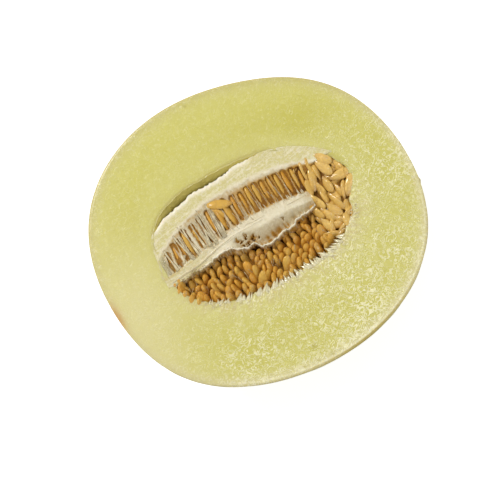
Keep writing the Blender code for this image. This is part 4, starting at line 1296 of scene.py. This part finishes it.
pulp = makePulp(pulpMaterial())
print("pulp ready:", len(pulp.data.polygons), "faces")


# Strands of pulp over the row, and torn fibres along the mouth

strandSides = 6
# Sag and thickness are plain or a range, taper is the share of the thickness at start, middle and end, and
# flat under 1 presses a strand against the cut face
strandParts = ("count", "where", "length", "steps", "bow", "sag", "tremble", "thick", "taper", "flat")
strandKinds = {
    "tailWall": (28, (-46.0, -13.0), None, 10, 0.6, (0.0, 0.5), 0.08, (0.14, 0.55), (1.7, 0.7, 1.1), 0.25),
    "stemWall": (28, (-13.0, 28.0), None, 10, 0.6, (0.0, 0.5), 0.08, (0.06, 0.14), (1.7, 0.7, 1.1), 0.6),
    "strip": (6, (-46.0, 18.0), (5.0, 13.0), 10, 0.4, 0.1, 0.06, (0.08, 0.2), (0.4, 1.0, 0.3), 0.8),
    "comb": (130, (-40.0, 29.0), (1.2, 3.6), 5, 0.3, -0.15, 0.03, (0.16, 0.42), (0.8, 0.8, 0.06), 0.5),
    "edge": (90, (-47.0, 28.0), (0.8, 2.2), 6, 0.3, -0.2, 0.04, (0.16, 0.5), (1.4, 0.8, 0.08), 0.4),
    "film": (34, (-42.0, 26.0), (1.2, 4.2), 5, 0.5, -0.4, 0.1, (0.06, 0.2), (1.6, 0.6, 1.2), 0.5),
    # where in degrees round the mouth
    "tooth": (84, (211.0, 340.0), None, 7, 0.3, -0.3, 0.04, 1.2, (1.2, 0.8, 0.05), 0.3),
    "fibre": (260, (207.0, 392.0), (1.2, 4.5), 6, 0.3, 0.0, 0.08, (0.10, 0.24), (1.0, 0.8, 0.2), 0.6),
    "fan": (50, (168.0, 190.0), (2.0, 8.0), 6, 0.6, -0.05, 0.08, (0.10, 0.24), (1.0, 0.8, 0.15), 0.6),
}
strandKinds = {name: dict(zip(strandParts, parts)) for name, parts in strandKinds.items()}
# walls over the row, first at the stem: share laid beside the seeds, share of short ones, and how they gather
wallSettings = ((0.85, 0.7, 0.0), (0.6, 0.3, (-2.5, 2.5)))


def addStrand(points, faces, path, radii, flat):
    # A thin tube along a path
    start = len(points)
    for step, (place, radius) in enumerate(zip(path, radii)):
        ahead = path[min(step + 1, len(path) - 1)] - path[max(step - 1, 0)]
        ahead = ahead / np.linalg.norm(ahead)
        side = np.cross(ahead, (0.0, 0.0, 1.0))
        side = side / max(np.linalg.norm(side), 1e-6)
        up = np.cross(side, ahead)
        for corner in range(strandSides):
            angle = fullTurn * corner / strandSides
            points.append(place + radius * (math.cos(angle) * side + flat * math.sin(angle) * up))
    faces += gridFaces(len(path), strandSides, start, True)
    faces.append(tuple(range(start + strandSides - 1, start - 1, -1)))
    end = start + (len(path) - 1) * strandSides
    faces.append(tuple(range(end, end + strandSides)))


def bowedPath(first, last, bow, sag, steps, tremble, draw):
    # Points from first to last, bowed sideways and sagging in the middle
    first, last = np.array(first, dtype=float), np.array(last, dtype=float)
    side = np.array((last[1] - first[1], first[0] - last[0], 0.0))
    side = side / max(np.linalg.norm(side), 1e-6)
    path = []
    for step in range(steps):
        t = step / (steps - 1)
        arch = math.sin(math.pi * t)
        place = first + (last - first) * t + side * (bow * arch + draw.uniform(-tremble, tremble) * arch)
        path.append(place - np.array((0.0, 0.0, sag * arch)))
    return path


def taper(steps, thick, shares):
    start, middle, end = shares
    radii = []
    for step in range(steps):
        t = step / (steps - 1)
        share = start + (middle - start) * 2.0 * t if t < 0.5 else middle + (end - middle) * (2.0 * t - 1.0)
        radii.append(thick * share)
    return radii


def pick(value, draw):
    # A range is drawn from, and a plain number stays
    return draw.uniform(*value) if isinstance(value, tuple) else value


def strandsOf(name, endsOf):
    # Makes what lays all strands of a kind, from a function that gives one's start, end and size
    kind = strandKinds[name]

    def layStrands(points, faces, draw):
        for number in range(kind["count"]):
            first, last, size = endsOf(kind, number, draw)
            bow, sag = draw.uniform(-kind["bow"], kind["bow"]), pick(kind["sag"], draw)
            path = bowedPath(first, last, bow, sag, kind["steps"], kind["tremble"], draw)
            radii = taper(kind["steps"], pick(kind["thick"], draw) * size, kind["taper"])
            addStrand(points, faces, path, radii, kind["flat"])
    return layStrands


def wallEnds(kind, number, draw):
    # Over the upper row, from the strip to the lip; at the tail they gather in bundles
    beside, short, gathered = wallSettings[kind["where"][0] < -20.0]
    along = draw.uniform(*kind["where"])
    nearest = min(upperRow["seeds"], key=lambda seed: abs(seed[0] - along))
    if abs(nearest[0] - along) < 1.0 and draw.random() < beside:
        along += 1.5 if along > nearest[0] else -1.5
    half, middle = float(upperHalfWidth(np.array(along))), float(upperMiddle(along))
    root = middle - half * draw.uniform(0.75, 1.0)
    tip = middle + half * draw.uniform(0.8, 1.1)
    if draw.random() < short:
        tip = root + (tip - root) * draw.uniform(0.2, 0.6)
    lean = -0.10 * (tip - root) + draw.uniform(-0.7, 0.7)
    gather = pick(gathered, draw)
    start = (along - gather * 0.2, root, cutLevel - draw.uniform(0.2, 0.6))
    return start, (along + lean + gather, tip, cutLevel - draw.uniform(0.2, 0.8)), 1.0


def stripEnds(kind, number, draw):
    along, length = draw.uniform(*kind["where"]), draw.uniform(*kind["length"])
    across = lineAt("vein", along) + draw.uniform(-1.6, 1.8)
    onward = lineAt("vein", along + length) + draw.uniform(-1.2, 1.6)
    return (along, across, cutLevel - 0.15), (along + length, onward, cutLevel - 0.2), 1.0


def veinStrand(points, faces, draw):
    path = [np.array((along, float(lineAt("vein", along)), cutLevel - 0.10)) for along in np.linspace(-46.0, 4.0, 40)]
    addStrand(points, faces, path, taper(len(path), 0.3, (1.2, 1.0, 0.3)), 0.8)


def combEnds(kind, number, draw):
    # A brushy fringe from the strip up between the lower ends of the row's seeds
    along = draw.uniform(*kind["where"])
    root = float(upperMiddle(along) - upperHalfWidth(np.array(along))) + draw.uniform(-1.0, 0.2)
    length = draw.uniform(*kind["length"])
    end = (along - 0.16 * length, root + length, cutLevel - draw.uniform(0.4, 1.4))
    return (along, root, cutLevel - 0.5), end, 1.0


def edgeEnds(kind, number, draw):
    # Torn film that hangs in points from the edge of the hollow over the first seeds
    along = draw.uniform(*kind["where"])
    start = float(tornLine(np.array([along]))[0])
    length = draw.uniform(*kind["length"]) * (1.0 + 0.9 * float(hump(along, -14.0, 8.0)))
    end = (along + draw.uniform(-0.8, 0.8), start - length, cutLevel - draw.uniform(1.6, 3.4))
    return (along, start + 0.4, cutLevel - 0.25), end, 1.0


def filmEnds(kind, number, draw):
    # Thin film between the seeds of the bank, more of it at the tail end
    first, last = kind["where"]
    along, share = first + (last - first) * draw.random() ** 1.3, 0.5 * draw.random()
    across = bankEdge(along) - 1.5 + (bankMargin(along) + 1.5 - bankEdge(along)) * share
    length, aim = draw.uniform(*kind["length"]), math.radians(draw.uniform(-140.0, -50.0))
    level = cutLevel - draw.uniform(2.2, 3.6)
    return (along, across, level), (along + length * math.cos(aim), across + length * math.sin(aim), level - 0.6), 1.0


def mouthPoint(degrees, outward, depth):
    turn = math.radians(degrees)
    radius = float(cavityRadius(np.array(turn))) + outward
    return (cavityMiddle[0] + radius * math.cos(turn), cavityMiddle[1] + radius * math.sin(turn), cutLevel - depth)


def toothEnds(kind, number, draw):
    # Torn cream teeth that reach in over the seeds of the bank
    first, last = kind["where"]
    degrees = first + (last - first) * (number + draw.random()) / kind["count"]
    size = draw.uniform(0.5, 1.0) ** 1.5
    end = mouthPoint(degrees + draw.uniform(-4.0, 4.0), -0.8 - 3.0 * size, 0.8 + 1.4 * size)
    return mouthPoint(degrees, 2.0, 1.0), end, size


def fibreEnds(kind, number, draw):
    # Fine fibres combed outwards over the flesh below the bank
    degrees, start = draw.uniform(*kind["where"]), draw.uniform(-0.4, 3.0)
    length = draw.uniform(*kind["length"]) * (1.0 if degrees < 340.0 else 0.6)
    sunk = 0.3 + 0.9 * math.exp(-max(start, 0.0) / 2.0) * (degrees < 330.0)
    end = mouthPoint(degrees + draw.uniform(-4.0, 4.0), start + length, 0.2)
    return mouthPoint(degrees, start, sunk), end, 1.0


def fanEnds(kind, number, draw):
    degrees, length = draw.uniform(*kind["where"]), draw.uniform(*kind["length"])
    end = mouthPoint(degrees + draw.uniform(-6.0, 6.0), length, 0.12)
    return mouthPoint(degrees, -1.8, 0.3), end, 1.0


def strandMaterial(name, light, dark, cover):
    material, tree = newMaterial(name)
    patches = cloudy(tree, 260.0, 900.0, 0.4)
    return finishMaterial(material, {
        "Base Color": mixColours(tree, times(tree, patches, 0.7), light, dark),
        "Alpha": spread(tree, patches, 0.0, 1.0, 1.0, cover), "Roughness": 0.35, "Coat Weight": 0.3,
    }, None, (0.3, (1.0, 0.9, 0.7), 0.001))


def strandPiece(name, makers, material, slot, seed):
    draw = random.Random(seed)
    points, faces = [], []
    for maker in makers:
        maker(points, faces, draw)
    piece = buildMesh(name, points, faces, [material])
    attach(piece, "root")
    print(name, "ready:", len(faces), "faces")


# Each piece is its name, what lays its strands, slot and seed, then its material's name, light and dark colour
# and how much of it covers
strandPieces = (
    ("pulpStrands", (strandsOf("tailWall", wallEnds), strandsOf("stemWall", wallEnds), strandsOf("strip", stripEnds),
                     veinStrand, strandsOf("comb", combEnds)), "pulp", 41,
     ("paleStrand", tint(232, 217, 176), tint(206, 184, 136), 0.35)),
    ("edgeFilm", (strandsOf("edge", edgeEnds), strandsOf("film", filmEnds)), "pulp", 44,
     ("brownedFilm", tint(204, 178, 130), tint(156, 122, 70), 0.6)),
    ("tornTeeth", (strandsOf("tooth", toothEnds),), "flesh", 42,
     ("tornFlesh", tint(236, 225, 180), tint(220, 203, 152), 0.85)),
    ("tornFibres", (strandsOf("fibre", fibreEnds), strandsOf("fan", fanEnds)), "flesh", 43,
     ("tornFibre", tint(226, 215, 165), tint(208, 190, 140), 0.8)),
)
for name, makers, slot, seed, looks in strandPieces:
    strandPiece(name, makers, strandMaterial(*looks), slot, seed)
